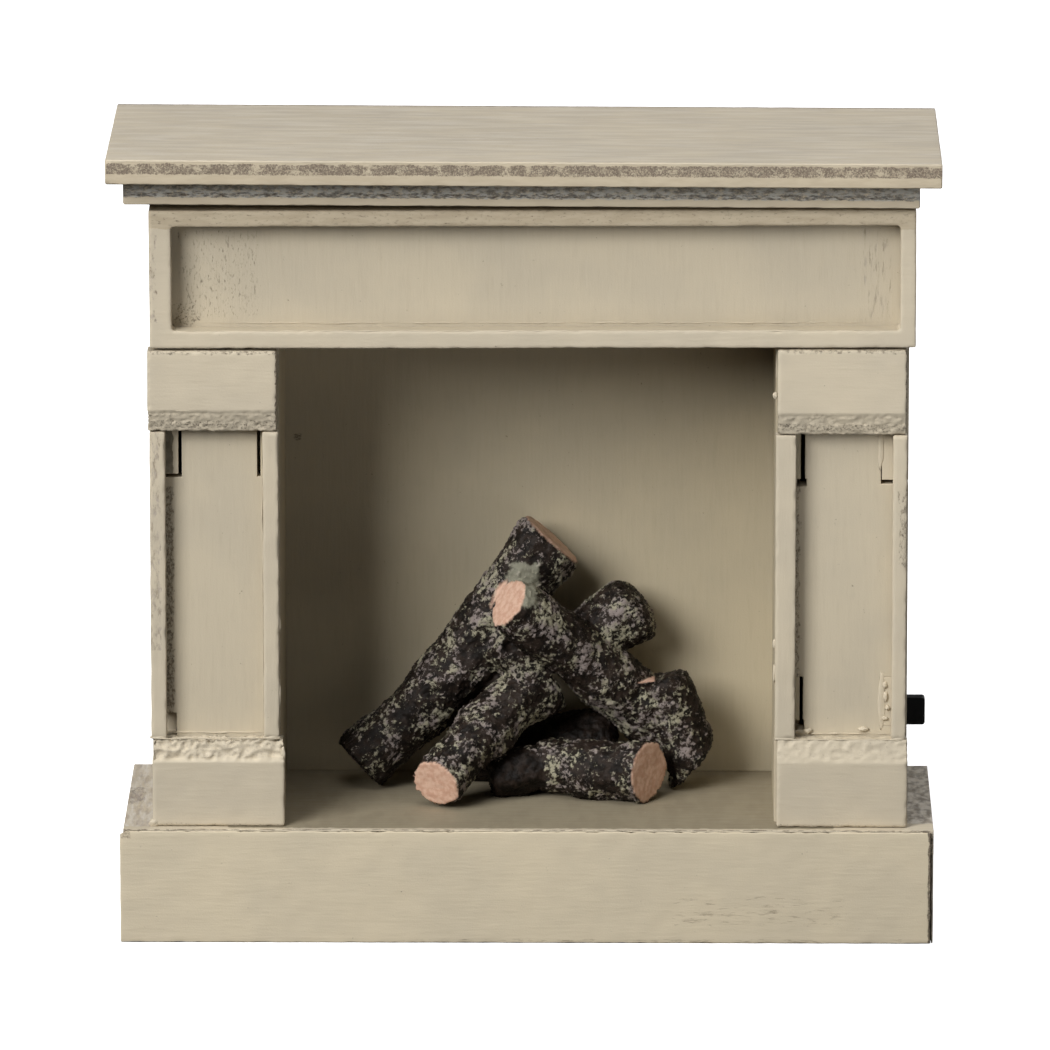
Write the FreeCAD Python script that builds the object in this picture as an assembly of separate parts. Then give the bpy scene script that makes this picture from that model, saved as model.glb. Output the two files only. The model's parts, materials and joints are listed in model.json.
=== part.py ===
"""Miniature fireplace mantel: painted board carcass, log pile, lamp, slide switch and two-cell battery base.

Frame: millimetres, +Z up, front faces -Y, +X to the right. The origin is on the table, under the middle of
the mantel shelf.
"""

import FreeCAD
import Part

import math
import os

# ---- driving dimensions ------------------------------------------------------------------------------------

BOARD = 4.0
SHELF_WIDTH = 130.0
SHELF_DEPTH = 46.5
SHELF_THICKNESS = 3.95
SHELF_TOP = 126.23
SHELF_SLOPE_DEG = 0.2

BED_LEFT = -62.4
BED_RIGHT = 61.65
BED_SETBACK = 3.95

BACK = SHELF_DEPTH / 2.0
SHELF_FRONT = -SHELF_DEPTH / 2.0
BED_BOTTOM = SHELF_TOP - 2.0 * SHELF_THICKNESS

BASE_DEPTH = 43.0
BASE_FRONT = BACK - BASE_DEPTH
BASE_FRONT_LEFT = -63.65
BASE_FRONT_RIGHT = 64.15
BASE_LEFT = -63.1
BASE_RIGHT = 64.5
HEARTH_TOP = 18.35
HEARTH_BOTTOM = HEARTH_TOP - BOARD
FRONT_LIP = 0.5
LIP_DROP = 0.15
BOTTOM_BOARD = 3.0
BOTTOM_RECESS = 0.3

CARCASS_LEFT = -58.5
CARCASS_RIGHT = 60.25
OPENING_LEFT = -38.4
OPENING_RIGHT = 39.4
OPENING_TOP = 96.0
FACE = -13.6
FACE_BACK = FACE + BOARD
BACK_BOARD_FRONT = BACK - BOARD

STILE_DEPTH = 3.0
BLOCK_DEPTH = 4.0
BEVEL_HEIGHT = 3.5
PLINTH_TOP = 32.5

FRIEZE_LEFT = -58.5
FRIEZE_RIGHT = 61.25
FRIEZE_BOTTOM = 95.2
FRIEZE_HEIGHT = 22.1
FRIEZE_TURN_DEG = -0.2
FRIEZE_BOTTOM_RAIL = 2.9
FRIEZE_TOP_RAIL = 2.7
FRIEZE_LEFT_STILE = 3.55
FRIEZE_RIGHT_STILE = 2.55

# Finger joints between the front board and the four upright walls.
UPPER_FINGER_TOP = 90.0
LOWER_FINGER_BOTTOM = 22.0
FINGER_GAP = 0.55

# Slide switch in the right column.
SWITCH_Y = 2.95
KNOB_DEPTH = 2.5
KNOB_BOTTOM = 30.4
KNOB_HEIGHT = 4.4
KNOB_OUT = 63.5
SWITCH_TRAVEL = 3.0
SLOT_CLEARANCE = 0.15

# Lamp behind the front log.
LAMP_X = 12.0
LAMP_Y = 10.0

# Two-cell battery box in the base, with a hinged door in the underside.
CELL_RADIUS = 5.25
CELL_LENGTH = 43.7
CELL_NUB_RADIUS = 1.9
CELL_NUB = 0.8
CELL_PITCH = 11.0
CELL_Z = 7.55
TRAY_LEFT = -56.5
TRAY_RIGHT = 1.5
TRAY_Y = 2.2
TRAY_WIDTH = 24.7
TRAY_BOTTOM = 0.3
TRAY_TOP = 14.0
TRAY_WALL = 1.2
PARTITION_LEFT = -6.6
PARTITION_THICKNESS = 0.8
DOOR_BOTTOM = 0.35
DOOR_THICKNESS = 1.5
DOOR_SCREW_X = -2.3
HINGE_X = -54.1
CONTACT_THICKNESS = 0.4

WIRE_RADIUS = 0.45

SLOPE = math.tan(math.radians(SHELF_SLOPE_DEG))
X_AXIS = FreeCAD.Vector(1, 0, 0)
Y_AXIS = FreeCAD.Vector(0, 1, 0)
Z_AXIS = FreeCAD.Vector(0, 0, 1)


# ---- helpers -----------------------------------------------------------------------------------------------


def box(x0, x1, y0, y1, z0, z1):
    return Part.makeBox(x1 - x0, y1 - y0, z1 - z0, FreeCAD.Vector(x0, y0, z0))


def prism_y(points, y0, y1):
    """Solid with the outline (x, z) points, running from y0 to y1."""
    corners = [FreeCAD.Vector(x, y0, z) for x, z in points]
    corners.append(corners[0])
    return Part.Face(Part.makePolygon(corners)).extrude(FreeCAD.Vector(0, y1 - y0, 0))


def prism_x(points, x0, x1):
    """Solid with the outline (y, z) points, running from x0 to x1."""
    corners = [FreeCAD.Vector(x0, y, z) for y, z in points]
    corners.append(corners[0])
    return Part.Face(Part.makePolygon(corners)).extrude(FreeCAD.Vector(x1 - x0, 0, 0))


def rod(start, end, radius):
    """Round bar from start to end."""
    first = FreeCAD.Vector(*start)
    run = FreeCAD.Vector(*end) - first
    return Part.makeCylinder(radius, run.Length, first, run)


def group(shapes):
    return Part.makeCompound(shapes)


def sloped_slab(x0, x1, y0, y1, top):
    """Board that follows the slope of the shelf, with its top at the given height over the origin."""
    bottom = top - SHELF_THICKNESS
    outline = [
        (x0, bottom - x0 * SLOPE),
        (x1, bottom - x1 * SLOPE),
        (x1, top - x1 * SLOPE),
        (x0, top - x0 * SLOPE),
    ]
    return prism_y(outline, y0, y1)


def under_bed(shape):
    """Trims an upright board to the sloped underside of the bed board."""
    reach = SHELF_WIDTH
    outline = [
        (-reach, BED_BOTTOM + reach * SLOPE),
        (reach, BED_BOTTOM - reach * SLOPE),
        (reach, BED_BOTTOM + reach),
        (-reach, BED_BOTTOM + reach),
    ]
    return shape.cut(prism_y(outline, -reach, reach))


# ---- mantel shelf ------------------------------------------------------------------------------------------


def shelf_board():
    half = SHELF_WIDTH / 2.0
    return sloped_slab(-half, half, SHELF_FRONT, BACK, SHELF_TOP)


def bed_board():
    return sloped_slab(BED_LEFT, BED_RIGHT, SHELF_FRONT + BED_SETBACK, BACK, SHELF_TOP - SHELF_THICKNESS)


# ---- finger joints -----------------------------------------------------------------------------------------


def finger_notches():
    """Cut-outs in the front board that take the walls' fingers, drawn as (x, z) outlines."""
    high = UPPER_FINGER_TOP
    low = LOWER_FINGER_BOTTOM
    left_edge = CARCASS_LEFT - 1.0
    right_edge = CARCASS_RIGHT + 1.0
    left_mouth = OPENING_LEFT + 1.0
    right_mouth = OPENING_RIGHT - 1.0
    return [
        [(left_edge, 73.85), (-53.7, 73.85), (-53.7, high), (left_edge, high)],
        [(-41.9, 74.0), (left_mouth, 74.0), (left_mouth, high), (-41.9, high)],
        [(right_mouth, 73.8), (42.8, 73.8), (42.8, 72.6), (44.3, 72.6), (44.3, 73.8), (44.05, 73.8),
         (44.05, high), (right_mouth, high)],
        [(55.95, 73.0), (right_edge, 73.0), (right_edge, high), (55.5, high), (55.5, 82.0), (55.95, 78.5)],
        [(left_edge, low), (-54.75, low), (-54.75, 35.8), (left_edge, 35.8)],
        [(-41.4, low), (left_mouth, low), (left_mouth, 31.0), (-41.4, 31.0)],
        [(right_mouth, 33.2), (44.1, 33.2), (44.1, 34.9), (43.9, 34.9), (43.9, 41.9), (right_mouth, 41.9)],
        [(55.98, 34.0), (right_edge, 34.0), (right_edge, 41.9), (55.98, 41.9)],
    ]


def finger(x0, x1, z0, z1):
    return box(x0, x1, FACE, FACE_BACK, z0, z1)


def back_finger_heights():
    """Heights of the fingers that join the outer walls to the back board."""
    return [(36.0, 52.0), (80.0, 96.0)]


# ---- carcass -----------------------------------------------------------------------------------------------


def front_board():
    board = box(CARCASS_LEFT, CARCASS_RIGHT, FACE, FACE_BACK, HEARTH_TOP, SHELF_TOP)
    board = under_bed(board)
    board = board.cut(box(OPENING_LEFT, OPENING_RIGHT, FACE - 1, FACE_BACK + 1, HEARTH_TOP - 1, OPENING_TOP))
    for outline in finger_notches():
        board = board.cut(prism_y(outline, FACE - 1, FACE_BACK + 1))
    return board


def wall(x0, x1):
    return under_bed(box(x0, x1, FACE_BACK, BACK_BOARD_FRONT, HEARTH_TOP, SHELF_TOP))


def with_back_fingers(shape, x0, x1):
    for z0, z1 in back_finger_heights():
        shape = shape.fuse(box(x0, x1, BACK_BOARD_FRONT, BACK, z0, z1))
    return shape.removeSplitter()


def left_outer_wall():
    shape = wall(CARCASS_LEFT, CARCASS_LEFT + BOARD)
    shape = shape.fuse(finger(CARCASS_LEFT, -54.25, 73.85 + FINGER_GAP, UPPER_FINGER_TOP))
    shape = shape.fuse(finger(CARCASS_LEFT, -54.75, LOWER_FINGER_BOTTOM, 32.0))
    return with_back_fingers(shape, CARCASS_LEFT, CARCASS_LEFT + BOARD)


def left_cheek():
    shape = wall(OPENING_LEFT - BOARD, OPENING_LEFT)
    shape = shape.fuse(finger(-41.35, OPENING_LEFT, 74.0, UPPER_FINGER_TOP))
    shape = shape.fuse(finger(-41.4, OPENING_LEFT, LOWER_FINGER_BOTTOM, 31.0))
    pin_hole = rod((OPENING_LEFT - 2.5, 6.0, 77.7), (OPENING_LEFT + 1, 6.0, 77.7), 0.5)
    return shape.cut(pin_hole).removeSplitter()


def right_cheek():
    shape = wall(OPENING_RIGHT, OPENING_RIGHT + BOARD)
    shape = shape.fuse(finger(OPENING_RIGHT, 43.35, 73.8, UPPER_FINGER_TOP))
    shape = shape.fuse(finger(OPENING_RIGHT, 43.35, 34.9, 41.9))
    return shape.removeSplitter()


def right_outer_wall():
    shape = wall(CARCASS_RIGHT - BOARD, CARCASS_RIGHT)
    shape = shape.fuse(finger(56.1, CARCASS_RIGHT, 73.65, UPPER_FINGER_TOP))
    shape = shape.fuse(finger(56.1, CARCASS_RIGHT, 34.0, 41.9))
    shape = with_back_fingers(shape, CARCASS_RIGHT - BOARD, CARCASS_RIGHT)
    return shape.cut(knob_slot(CARCASS_RIGHT - BOARD - 1, CARCASS_RIGHT + 1))


def back_board():
    board = box(CARCASS_LEFT, CARCASS_RIGHT, BACK_BOARD_FRONT, BACK, HEARTH_TOP, SHELF_TOP)
    board = under_bed(board)
    for z0, z1 in back_finger_heights():
        left = box(CARCASS_LEFT - 1, CARCASS_LEFT + BOARD, BACK_BOARD_FRONT - 1, BACK + 1, z0, z1)
        right = box(CARCASS_RIGHT - BOARD, CARCASS_RIGHT + 1, BACK_BOARD_FRONT - 1, BACK + 1, z0, z1)
        board = board.cut(left).cut(right)
    return board


def firebox_ceiling():
    return box(OPENING_LEFT, OPENING_RIGHT, FACE_BACK, BACK_BOARD_FRONT, OPENING_TOP, OPENING_TOP + BOARD)


# ---- front dressing: frieze frame and columns --------------------------------------------------------------


def turned(shape):
    """Turns a frieze strip about the frame's lower left corner, as the frame sits on the carcass."""
    shape = shape.copy()
    shape.rotate(FreeCAD.Vector(FRIEZE_LEFT, FACE, FRIEZE_BOTTOM), Y_AXIS, FRIEZE_TURN_DEG)
    return shape


def frieze_strip(x0, x1, z0, z1):
    return turned(box(x0, x1, FACE - BLOCK_DEPTH, FACE, z0, z1))


def frieze_strips():
    inner_bottom = FRIEZE_BOTTOM + FRIEZE_BOTTOM_RAIL
    top = FRIEZE_BOTTOM + FRIEZE_HEIGHT
    inner_top = top - FRIEZE_TOP_RAIL
    return {
        "frieze_bottom_rail": frieze_strip(FRIEZE_LEFT, FRIEZE_RIGHT, FRIEZE_BOTTOM, inner_bottom),
        "frieze_top_rail": frieze_strip(FRIEZE_LEFT, FRIEZE_RIGHT, inner_top, top),
        "frieze_left_stile": frieze_strip(
            FRIEZE_LEFT, FRIEZE_LEFT + FRIEZE_LEFT_STILE, inner_bottom, inner_top),
        "frieze_right_stile": frieze_strip(
            FRIEZE_RIGHT - FRIEZE_RIGHT_STILE, FRIEZE_RIGHT, inner_bottom, inner_top),
    }


def capital(x0, x1, bottom, top):
    """Block with its lower edge bevelled back to the face of the stiles."""
    outline = [
        (FACE, bottom),
        (FACE, top),
        (FACE - BLOCK_DEPTH, top),
        (FACE - BLOCK_DEPTH, bottom + BEVEL_HEIGHT),
        (FACE - STILE_DEPTH, bottom),
    ]
    return prism_x(outline, x0, x1)


def plinth(x0, x1):
    """Block with its upper edge bevelled back to the face of the stiles."""
    outline = [
        (FACE, HEARTH_TOP),
        (FACE - BLOCK_DEPTH, HEARTH_TOP),
        (FACE - BLOCK_DEPTH, PLINTH_TOP - BEVEL_HEIGHT),
        (FACE - STILE_DEPTH, PLINTH_TOP),
        (FACE, PLINTH_TOP),
    ]
    return prism_x(outline, x0, x1)


def column_stile(x0, x1, top):
    return box(x0, x1, FACE - STILE_DEPTH, FACE, PLINTH_TOP, top)


def column_pieces():
    left_bottom = 81.8
    right_bottom = 81.45
    return {
        "left_capital": capital(-58.95, -38.65, left_bottom, 94.95),
        "right_capital": capital(39.6, 59.95, right_bottom, 95.3),
        "left_plinth": plinth(-58.55, -37.6),
        "right_plinth": plinth(39.67, 60.4),
        "left_outer_stile": column_stile(-58.7, -56.17, left_bottom),
        "left_inner_stile": column_stile(-41.0, -38.43, left_bottom),
        "right_inner_stile": column_stile(39.38, 42.67, right_bottom),
        "right_outer_stile": column_stile(57.73, 60.08, right_bottom),
    }


# ---- base --------------------------------------------------------------------------------------------------


def hearth_plate():
    plate = box(BASE_LEFT, BASE_RIGHT, BASE_FRONT + FRONT_LIP, BACK, HEARTH_BOTTOM, HEARTH_TOP)
    plate = plate.cut(rod((LAMP_X, LAMP_Y, 0), (LAMP_X, LAMP_Y, HEARTH_TOP + 1), HOLDER_RADIUS))
    wire_hole = rod((48.2, 3.4, 0), (48.2, 3.4, HEARTH_TOP + 1), 3.5)
    return plate.cut(wire_hole)


def base_front():
    """Front board of the base: a thin lip stands before the hearth plate's edge."""
    inside = BASE_FRONT + BOARD
    outline = [
        (BASE_FRONT, 0.0),
        (inside, 0.0),
        (inside, HEARTH_BOTTOM),
        (BASE_FRONT + FRONT_LIP, HEARTH_BOTTOM),
        (BASE_FRONT + FRONT_LIP, HEARTH_TOP - LIP_DROP),
        (BASE_FRONT, HEARTH_TOP - LIP_DROP),
    ]
    board = prism_x(outline, BASE_FRONT_LEFT, BASE_FRONT_RIGHT)
    worn_corner = [
        (BASE_FRONT_LEFT, HEARTH_TOP - 0.75),
        (BASE_FRONT_LEFT + 0.8, HEARTH_TOP),
        (BASE_FRONT_LEFT - 1.0, HEARTH_TOP),
        (BASE_FRONT_LEFT - 1.0, HEARTH_TOP - 0.75),
    ]
    return board.cut(prism_y(worn_corner, BASE_FRONT - 1, inside + 1))


def base_end(x0, x1):
    return box(x0, x1, BASE_FRONT + BOARD, BACK, 0, HEARTH_BOTTOM)


def base_right_end():
    """Right end board: its front edge shows beside the front board, which is a little short."""
    board = base_end(BASE_RIGHT - BOARD, BASE_RIGHT)
    tab = box(BASE_FRONT_RIGHT, BASE_RIGHT, BASE_FRONT + FRONT_LIP, BASE_FRONT + BOARD, 0, HEARTH_BOTTOM)
    return board.fuse(tab).removeSplitter()


def base_back():
    return box(BASE_LEFT + BOARD, BASE_RIGHT - BOARD, BACK_BOARD_FRONT, BACK, 0, HEARTH_BOTTOM)


def base_bottom():
    top = BOTTOM_RECESS + BOTTOM_BOARD
    board = box(
        BASE_LEFT + BOARD, BASE_RIGHT - BOARD, BASE_FRONT + BOARD, BACK_BOARD_FRONT, BOTTOM_RECESS, top)
    gap = 0.2
    front, rear = tray_sides()
    return board.cut(box(TRAY_LEFT - gap, TRAY_RIGHT + gap, front - gap, rear + gap, -1, top + 1))


# ---- battery box -------------------------------------------------------------------------------------------


def tray_sides():
    return TRAY_Y - TRAY_WIDTH / 2.0, TRAY_Y + TRAY_WIDTH / 2.0


def tray_ears():
    """Two ears that rest on the bottom board, as (x, y of the outer edge, y of the tray side)."""
    front, rear = tray_sides()
    return [(-40.0, front - 4.6, front), (-14.0, rear + 4.0, rear)]


def ear_screw_place(ear):
    x, outer, side = ear
    return x, (outer + side) / 2.0


def contact_tabs():
    """Solder tabs of the two end contacts, at the right end of the battery box."""
    half = 1.0
    z0 = CELL_Z + 0.25
    places = [-5.0, 9.4]
    return [
        box(PARTITION_LEFT - CONTACT_THICKNESS, TRAY_RIGHT + 1.1, y - half, y + half, z0, z0 + CONTACT_THICKNESS)
        for y in places
    ]


def battery_tray():
    front, rear = tray_sides()
    inner_left = TRAY_LEFT + TRAY_WALL
    inner_right = TRAY_RIGHT - TRAY_WALL
    inner_front = front + TRAY_WALL
    inner_rear = rear - TRAY_WALL
    tray = box(TRAY_LEFT, TRAY_RIGHT, front, rear, TRAY_BOTTOM, TRAY_TOP)
    tray = tray.cut(box(inner_left, inner_right, inner_front, inner_rear, -1, TRAY_TOP - TRAY_WALL))
    partition_right = PARTITION_LEFT + PARTITION_THICKNESS
    floor_gap = DOOR_BOTTOM + DOOR_THICKNESS + 0.2
    tray = tray.fuse(box(PARTITION_LEFT, partition_right, inner_front, inner_rear, floor_gap, TRAY_TOP - 1))
    boss_left = DOOR_SCREW_X - 2.1
    tray = tray.fuse(box(boss_left, inner_right, TRAY_Y - 2.1, TRAY_Y + 2.1, floor_gap, 7.5))
    tray = tray.cut(rod((DOOR_SCREW_X, TRAY_Y, 0), (DOOR_SCREW_X, TRAY_Y, 7.0), 1.4))
    for side in (inner_front, inner_rear):
        tray = tray.cut(hinge_pin(side - 0.95, side + 0.95, 0.55))
    ear_bottom = BOTTOM_RECESS + BOTTOM_BOARD
    for ear in tray_ears():
        x, outer, side = ear
        low, high = sorted((outer, side))
        tray = tray.fuse(box(x - 3.0, x + 3.0, low, high, ear_bottom, ear_bottom + TRAY_WALL))
        hole_x, hole_y = ear_screw_place(ear)
        tray = tray.cut(rod((hole_x, hole_y, 0), (hole_x, hole_y, TRAY_TOP), 1.0))
    for tab in contact_tabs():
        tray = tray.cut(tab)
    return tray.removeSplitter()


def hinge_pin(y0, y1, radius):
    z = DOOR_BOTTOM + DOOR_THICKNESS / 2.0
    return rod((HINGE_X, y0, z), (HINGE_X, y1, z), radius)


def battery_door():
    """Flush door: rounded along its hinge edge, with a screw at the other end and a finger ridge."""
    front, rear = tray_sides()
    side_gap = 0.2
    y0 = front + TRAY_WALL + side_gap
    y1 = rear - TRAY_WALL - side_gap
    right = TRAY_RIGHT - TRAY_WALL - side_gap
    top = DOOR_BOTTOM + DOOR_THICKNESS
    door = box(HINGE_X, right, y0, y1, DOOR_BOTTOM, top)
    door = door.fuse(hinge_pin(y0, y1, DOOR_THICKNESS / 2.0))
    door = door.fuse(hinge_pin(y0 - 1.0, y1 + 1.0, 0.5))
    door = door.cut(rod((DOOR_SCREW_X, TRAY_Y, 0), (DOOR_SCREW_X, TRAY_Y, top + 1), 1.15))
    door = door.cut(rod((DOOR_SCREW_X, TRAY_Y, 0), (DOOR_SCREW_X, TRAY_Y, DOOR_BOTTOM + 0.8), 2.0))
    groove_width = 0.5
    for step in range(5):
        x = -10.0 - step * 1.4
        groove = box(x, x + groove_width, TRAY_Y - 4.0, TRAY_Y + 4.0, 0, DOOR_BOTTOM + 0.35)
        door = door.cut(groove)
    return door.removeSplitter()


def battery_door_screw():
    head_bottom = DOOR_BOTTOM + 0.05
    head_top = DOOR_BOTTOM + 0.75
    screw = rod((DOOR_SCREW_X, TRAY_Y, head_bottom), (DOOR_SCREW_X, TRAY_Y, head_top), 1.8)
    screw = screw.fuse(rod((DOOR_SCREW_X, TRAY_Y, head_top - 0.1), (DOOR_SCREW_X, TRAY_Y, 6.3), 1.0))
    arm = 1.2
    half = 0.2
    cross = box(DOOR_SCREW_X - arm, DOOR_SCREW_X + arm, TRAY_Y - half, TRAY_Y + half, 0, head_bottom + 0.4)
    cross = cross.fuse(
        box(DOOR_SCREW_X - half, DOOR_SCREW_X + half, TRAY_Y - arm, TRAY_Y + arm, 0, head_bottom + 0.4))
    return screw.cut(cross).removeSplitter()


def tray_screws():
    seat = BOTTOM_RECESS + BOTTOM_BOARD + TRAY_WALL
    screws = []
    for ear in tray_ears():
        x, y = ear_screw_place(ear)
        head = rod((x, y, seat), (x, y, seat + 1.0), 1.7)
        screws.append(head.fuse(rod((x, y, seat - TRAY_WALL), (x, y, seat), 1.0)).removeSplitter())
    return group(screws)


def cell_line():
    """Height and the two Y places of the cells."""
    return TRAY_Y - CELL_PITCH / 2.0, TRAY_Y + CELL_PITCH / 2.0


def cell(x_flat, y, direction):
    """Cell with its flat end at x_flat, pointing along +X or -X."""
    end = x_flat + direction * CELL_LENGTH
    body = rod((x_flat, y, CELL_Z), (end, y, CELL_Z), CELL_RADIUS)
    nub = rod((end, y, CELL_Z), (end + direction * CELL_NUB, y, CELL_Z), CELL_NUB_RADIUS)
    return body.fuse(nub).removeSplitter()


def cells():
    front_y, rear_y = cell_line()
    right_stop = PARTITION_LEFT - CONTACT_THICKNESS
    left_stop = TRAY_LEFT + TRAY_WALL + CONTACT_THICKNESS
    return {
        "battery_cell_front": cell(right_stop - CELL_NUB - CELL_LENGTH, front_y, 1),
        "battery_cell_rear": cell(left_stop + CELL_NUB + CELL_LENGTH, rear_y, -1),
    }


def contact_spring(x_plate, x_cell, y):
    """Tapered contact spring, shown as its closed coils: one turned sleeve with a ridge for each coil."""
    coils = 4
    wire = 0.6
    wide = 3.6
    narrow = 2.4
    step = (x_cell - x_plate) / coils
    outside = []
    for turn in range(coils):
        x = x_plate + step * turn
        radius = wide - (wide - narrow) * turn / (coils - 1)
        outside.append((x, radius - wire / 2.0))
        outside.append((x + step * 0.25, radius))
        outside.append((x + step * 0.75, radius))
    outside.append((x_cell, narrow - wire / 2.0))
    inside = [(x_cell, narrow - wire), (x_plate, wide - wire * 1.5)]
    corners = [FreeCAD.Vector(x, y, CELL_Z + radius) for x, radius in outside + inside]
    corners.append(corners[0])
    profile = Part.Face(Part.makePolygon(corners))
    return profile.revolve(FreeCAD.Vector(x_plate, y, CELL_Z), X_AXIS, 360)


def contact_springs():
    front_y, rear_y = cell_line()
    left_plate = TRAY_LEFT + TRAY_WALL + CONTACT_THICKNESS
    right_plate = PARTITION_LEFT - CONTACT_THICKNESS
    front_flat = right_plate - CELL_NUB - CELL_LENGTH
    rear_flat = left_plate + CELL_NUB + CELL_LENGTH
    return group([contact_spring(left_plate, front_flat, front_y), contact_spring(right_plate, rear_flat, rear_y)])


def contact_plates():
    front_y, rear_y = cell_line()
    half = 4.3
    z0 = CELL_Z - half
    z1 = CELL_Z + half
    left = TRAY_LEFT + TRAY_WALL
    bridge = box(left, left + CONTACT_THICKNESS, front_y - half, rear_y + half, z0, z1)
    plates = [bridge]
    for y, tab in zip((front_y, rear_y), contact_tabs()):
        plate = box(PARTITION_LEFT - CONTACT_THICKNESS, PARTITION_LEFT, y - half, y + half, z0, z1)
        plates.append(plate.fuse(tab).removeSplitter())
    return group(plates)


# ---- slide switch ------------------------------------------------------------------------------------------


def knob_slot(x0, x1):
    """Opening that the knob's stem passes through, as long as its travel."""
    half = KNOB_DEPTH / 2.0 + SLOT_CLEARANCE
    top = KNOB_BOTTOM + KNOB_HEIGHT + SWITCH_TRAVEL
    return box(x0, x1, SWITCH_Y - half, SWITCH_Y + half, KNOB_BOTTOM - 0.25, top + 0.25)


SWITCH_PLATE = 0.5
SWITCH_CAN = 5.2
SLIDER_EXTRA = 0.35
SLIDER_DEPTH = 1.9
SWITCH_WALL = CARCASS_RIGHT - BOARD


def switch_middle():
    return KNOB_BOTTOM + (KNOB_HEIGHT + SWITCH_TRAVEL) / 2.0


def switch_screw_heights():
    return switch_middle() - 9.2, switch_middle() + 9.2


def switch_body():
    """Metal can on a mounting plate, with the channel that the slider runs in."""
    plate_x = SWITCH_WALL - SWITCH_PLATE
    middle = switch_middle()
    body = box(plate_x, SWITCH_WALL, SWITCH_Y - 3.2, SWITCH_Y + 3.2, middle - 11.2, middle + 11.2)
    body = body.fuse(box(plate_x - SWITCH_CAN, plate_x, SWITCH_Y - 3.2, SWITCH_Y + 3.2, middle - 7, middle + 7))
    half = KNOB_DEPTH / 2.0 + SLIDER_EXTRA + SLOT_CLEARANCE
    low = KNOB_BOTTOM - 0.8
    high = KNOB_BOTTOM + KNOB_HEIGHT + SWITCH_TRAVEL + 0.8
    body = body.cut(box(plate_x - SLIDER_DEPTH - 0.3, plate_x, SWITCH_Y - half, SWITCH_Y + half, low, high))
    body = body.cut(knob_slot(plate_x - 1, SWITCH_WALL + 1))
    for z in switch_screw_heights():
        body = body.cut(rod((plate_x - 1, SWITCH_Y, z), (SWITCH_WALL + 1, SWITCH_Y, z), 1.0))
    return body.removeSplitter()


def switch_terminals():
    """Three solder tabs. The middle one is longer, so that two wires can rise side by side."""
    back = SWITCH_WALL - SWITCH_PLATE - SWITCH_CAN
    middle = switch_middle()
    reaches = [(middle - 4.0, 2.4), (middle, 4.0), (middle + 4.0, 2.4)]
    return group([
        box(back - reach, back, SWITCH_Y - 0.7, SWITCH_Y + 0.7, z, z + 0.4)
        for z, reach in reaches
    ])


def switch_knob():
    plate_x = SWITCH_WALL - SWITCH_PLATE
    half = KNOB_DEPTH / 2.0
    wide = half + SLIDER_EXTRA
    top = KNOB_BOTTOM + KNOB_HEIGHT
    slider = box(
        plate_x - SLIDER_DEPTH - 0.1, plate_x - 0.1, SWITCH_Y - wide, SWITCH_Y + wide,
        KNOB_BOTTOM - 0.5, top + 0.5)
    stem = box(plate_x - 0.5, KNOB_OUT, SWITCH_Y - half, SWITCH_Y + half, KNOB_BOTTOM, top)
    return slider.fuse(stem).removeSplitter()


def switch_screws():
    plate_x = SWITCH_WALL - SWITCH_PLATE
    screws = []
    for z in switch_screw_heights():
        head = rod((plate_x - 1.0, SWITCH_Y, z), (plate_x, SWITCH_Y, z), 1.7)
        shank = rod((plate_x, SWITCH_Y, z), (SWITCH_WALL, SWITCH_Y, z), 1.0)
        screws.append(head.fuse(shank).removeSplitter())
    return group(screws)


# ---- lamp --------------------------------------------------------------------------------------------------

HOLDER_RADIUS = 2.5
LAMP_RADIUS = 1.5
LEAD_RADIUS = 0.25
LEAD_SPREAD = 1.27
LEAD_Z = 9.0
LAMP_CYLINDER_TOP = HEARTH_TOP + 0.2


def lamp_bar(z0, z1, radius):
    return rod((LAMP_X, LAMP_Y, z0), (LAMP_X, LAMP_Y, z1), radius)


def lamp_holder():
    ring = lamp_bar(HEARTH_BOTTOM, HEARTH_TOP, HOLDER_RADIUS)
    ring = ring.fuse(lamp_bar(HEARTH_TOP, HEARTH_TOP + 0.5, HOLDER_RADIUS + 0.6))
    return ring.cut(lamp_bar(0, HEARTH_TOP + 2, LAMP_RADIUS)).removeSplitter()


def lamp():
    body = lamp_bar(HEARTH_BOTTOM, LAMP_CYLINDER_TOP, LAMP_RADIUS)
    dome = Part.makeSphere(LAMP_RADIUS, FreeCAD.Vector(LAMP_X, LAMP_Y, LAMP_CYLINDER_TOP))
    rim = lamp_bar(HEARTH_BOTTOM - 0.8, HEARTH_BOTTOM, LAMP_RADIUS + 0.4)
    return body.fuse(dome).fuse(rim).removeSplitter()


def lead(x_pin, x_end):
    """Lamp lead: down from the lamp, then bent level."""
    down = rod((x_pin, LAMP_Y, HEARTH_BOTTOM - 0.8), (x_pin, LAMP_Y, LEAD_Z), LEAD_RADIUS)
    corner = Part.makeSphere(LEAD_RADIUS, FreeCAD.Vector(x_pin, LAMP_Y, LEAD_Z))
    level = rod((x_pin, LAMP_Y, LEAD_Z), (x_end, LAMP_Y, LEAD_Z), LEAD_RADIUS)
    return down.fuse(corner).fuse(level).removeSplitter()


def lamp_leads():
    return group([lead(LAMP_X - LEAD_SPREAD, 8.5), lead(LAMP_X + LEAD_SPREAD, 16.5)])


def resistor():
    """Small series resistor with its two leads."""
    leads = rod((16.5, LAMP_Y, LEAD_Z), (25.5, LAMP_Y, LEAD_Z), LEAD_RADIUS)
    body = rod((18.6, LAMP_Y, LEAD_Z), (23.4, LAMP_Y, LEAD_Z), 0.85)
    for x in (18.2, 22.6):
        body = body.fuse(rod((x, LAMP_Y, LEAD_Z), (x + 1.2, LAMP_Y, LEAD_Z), 1.05))
    return body.fuse(leads).removeSplitter()


# ---- wires -------------------------------------------------------------------------------------------------


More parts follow.
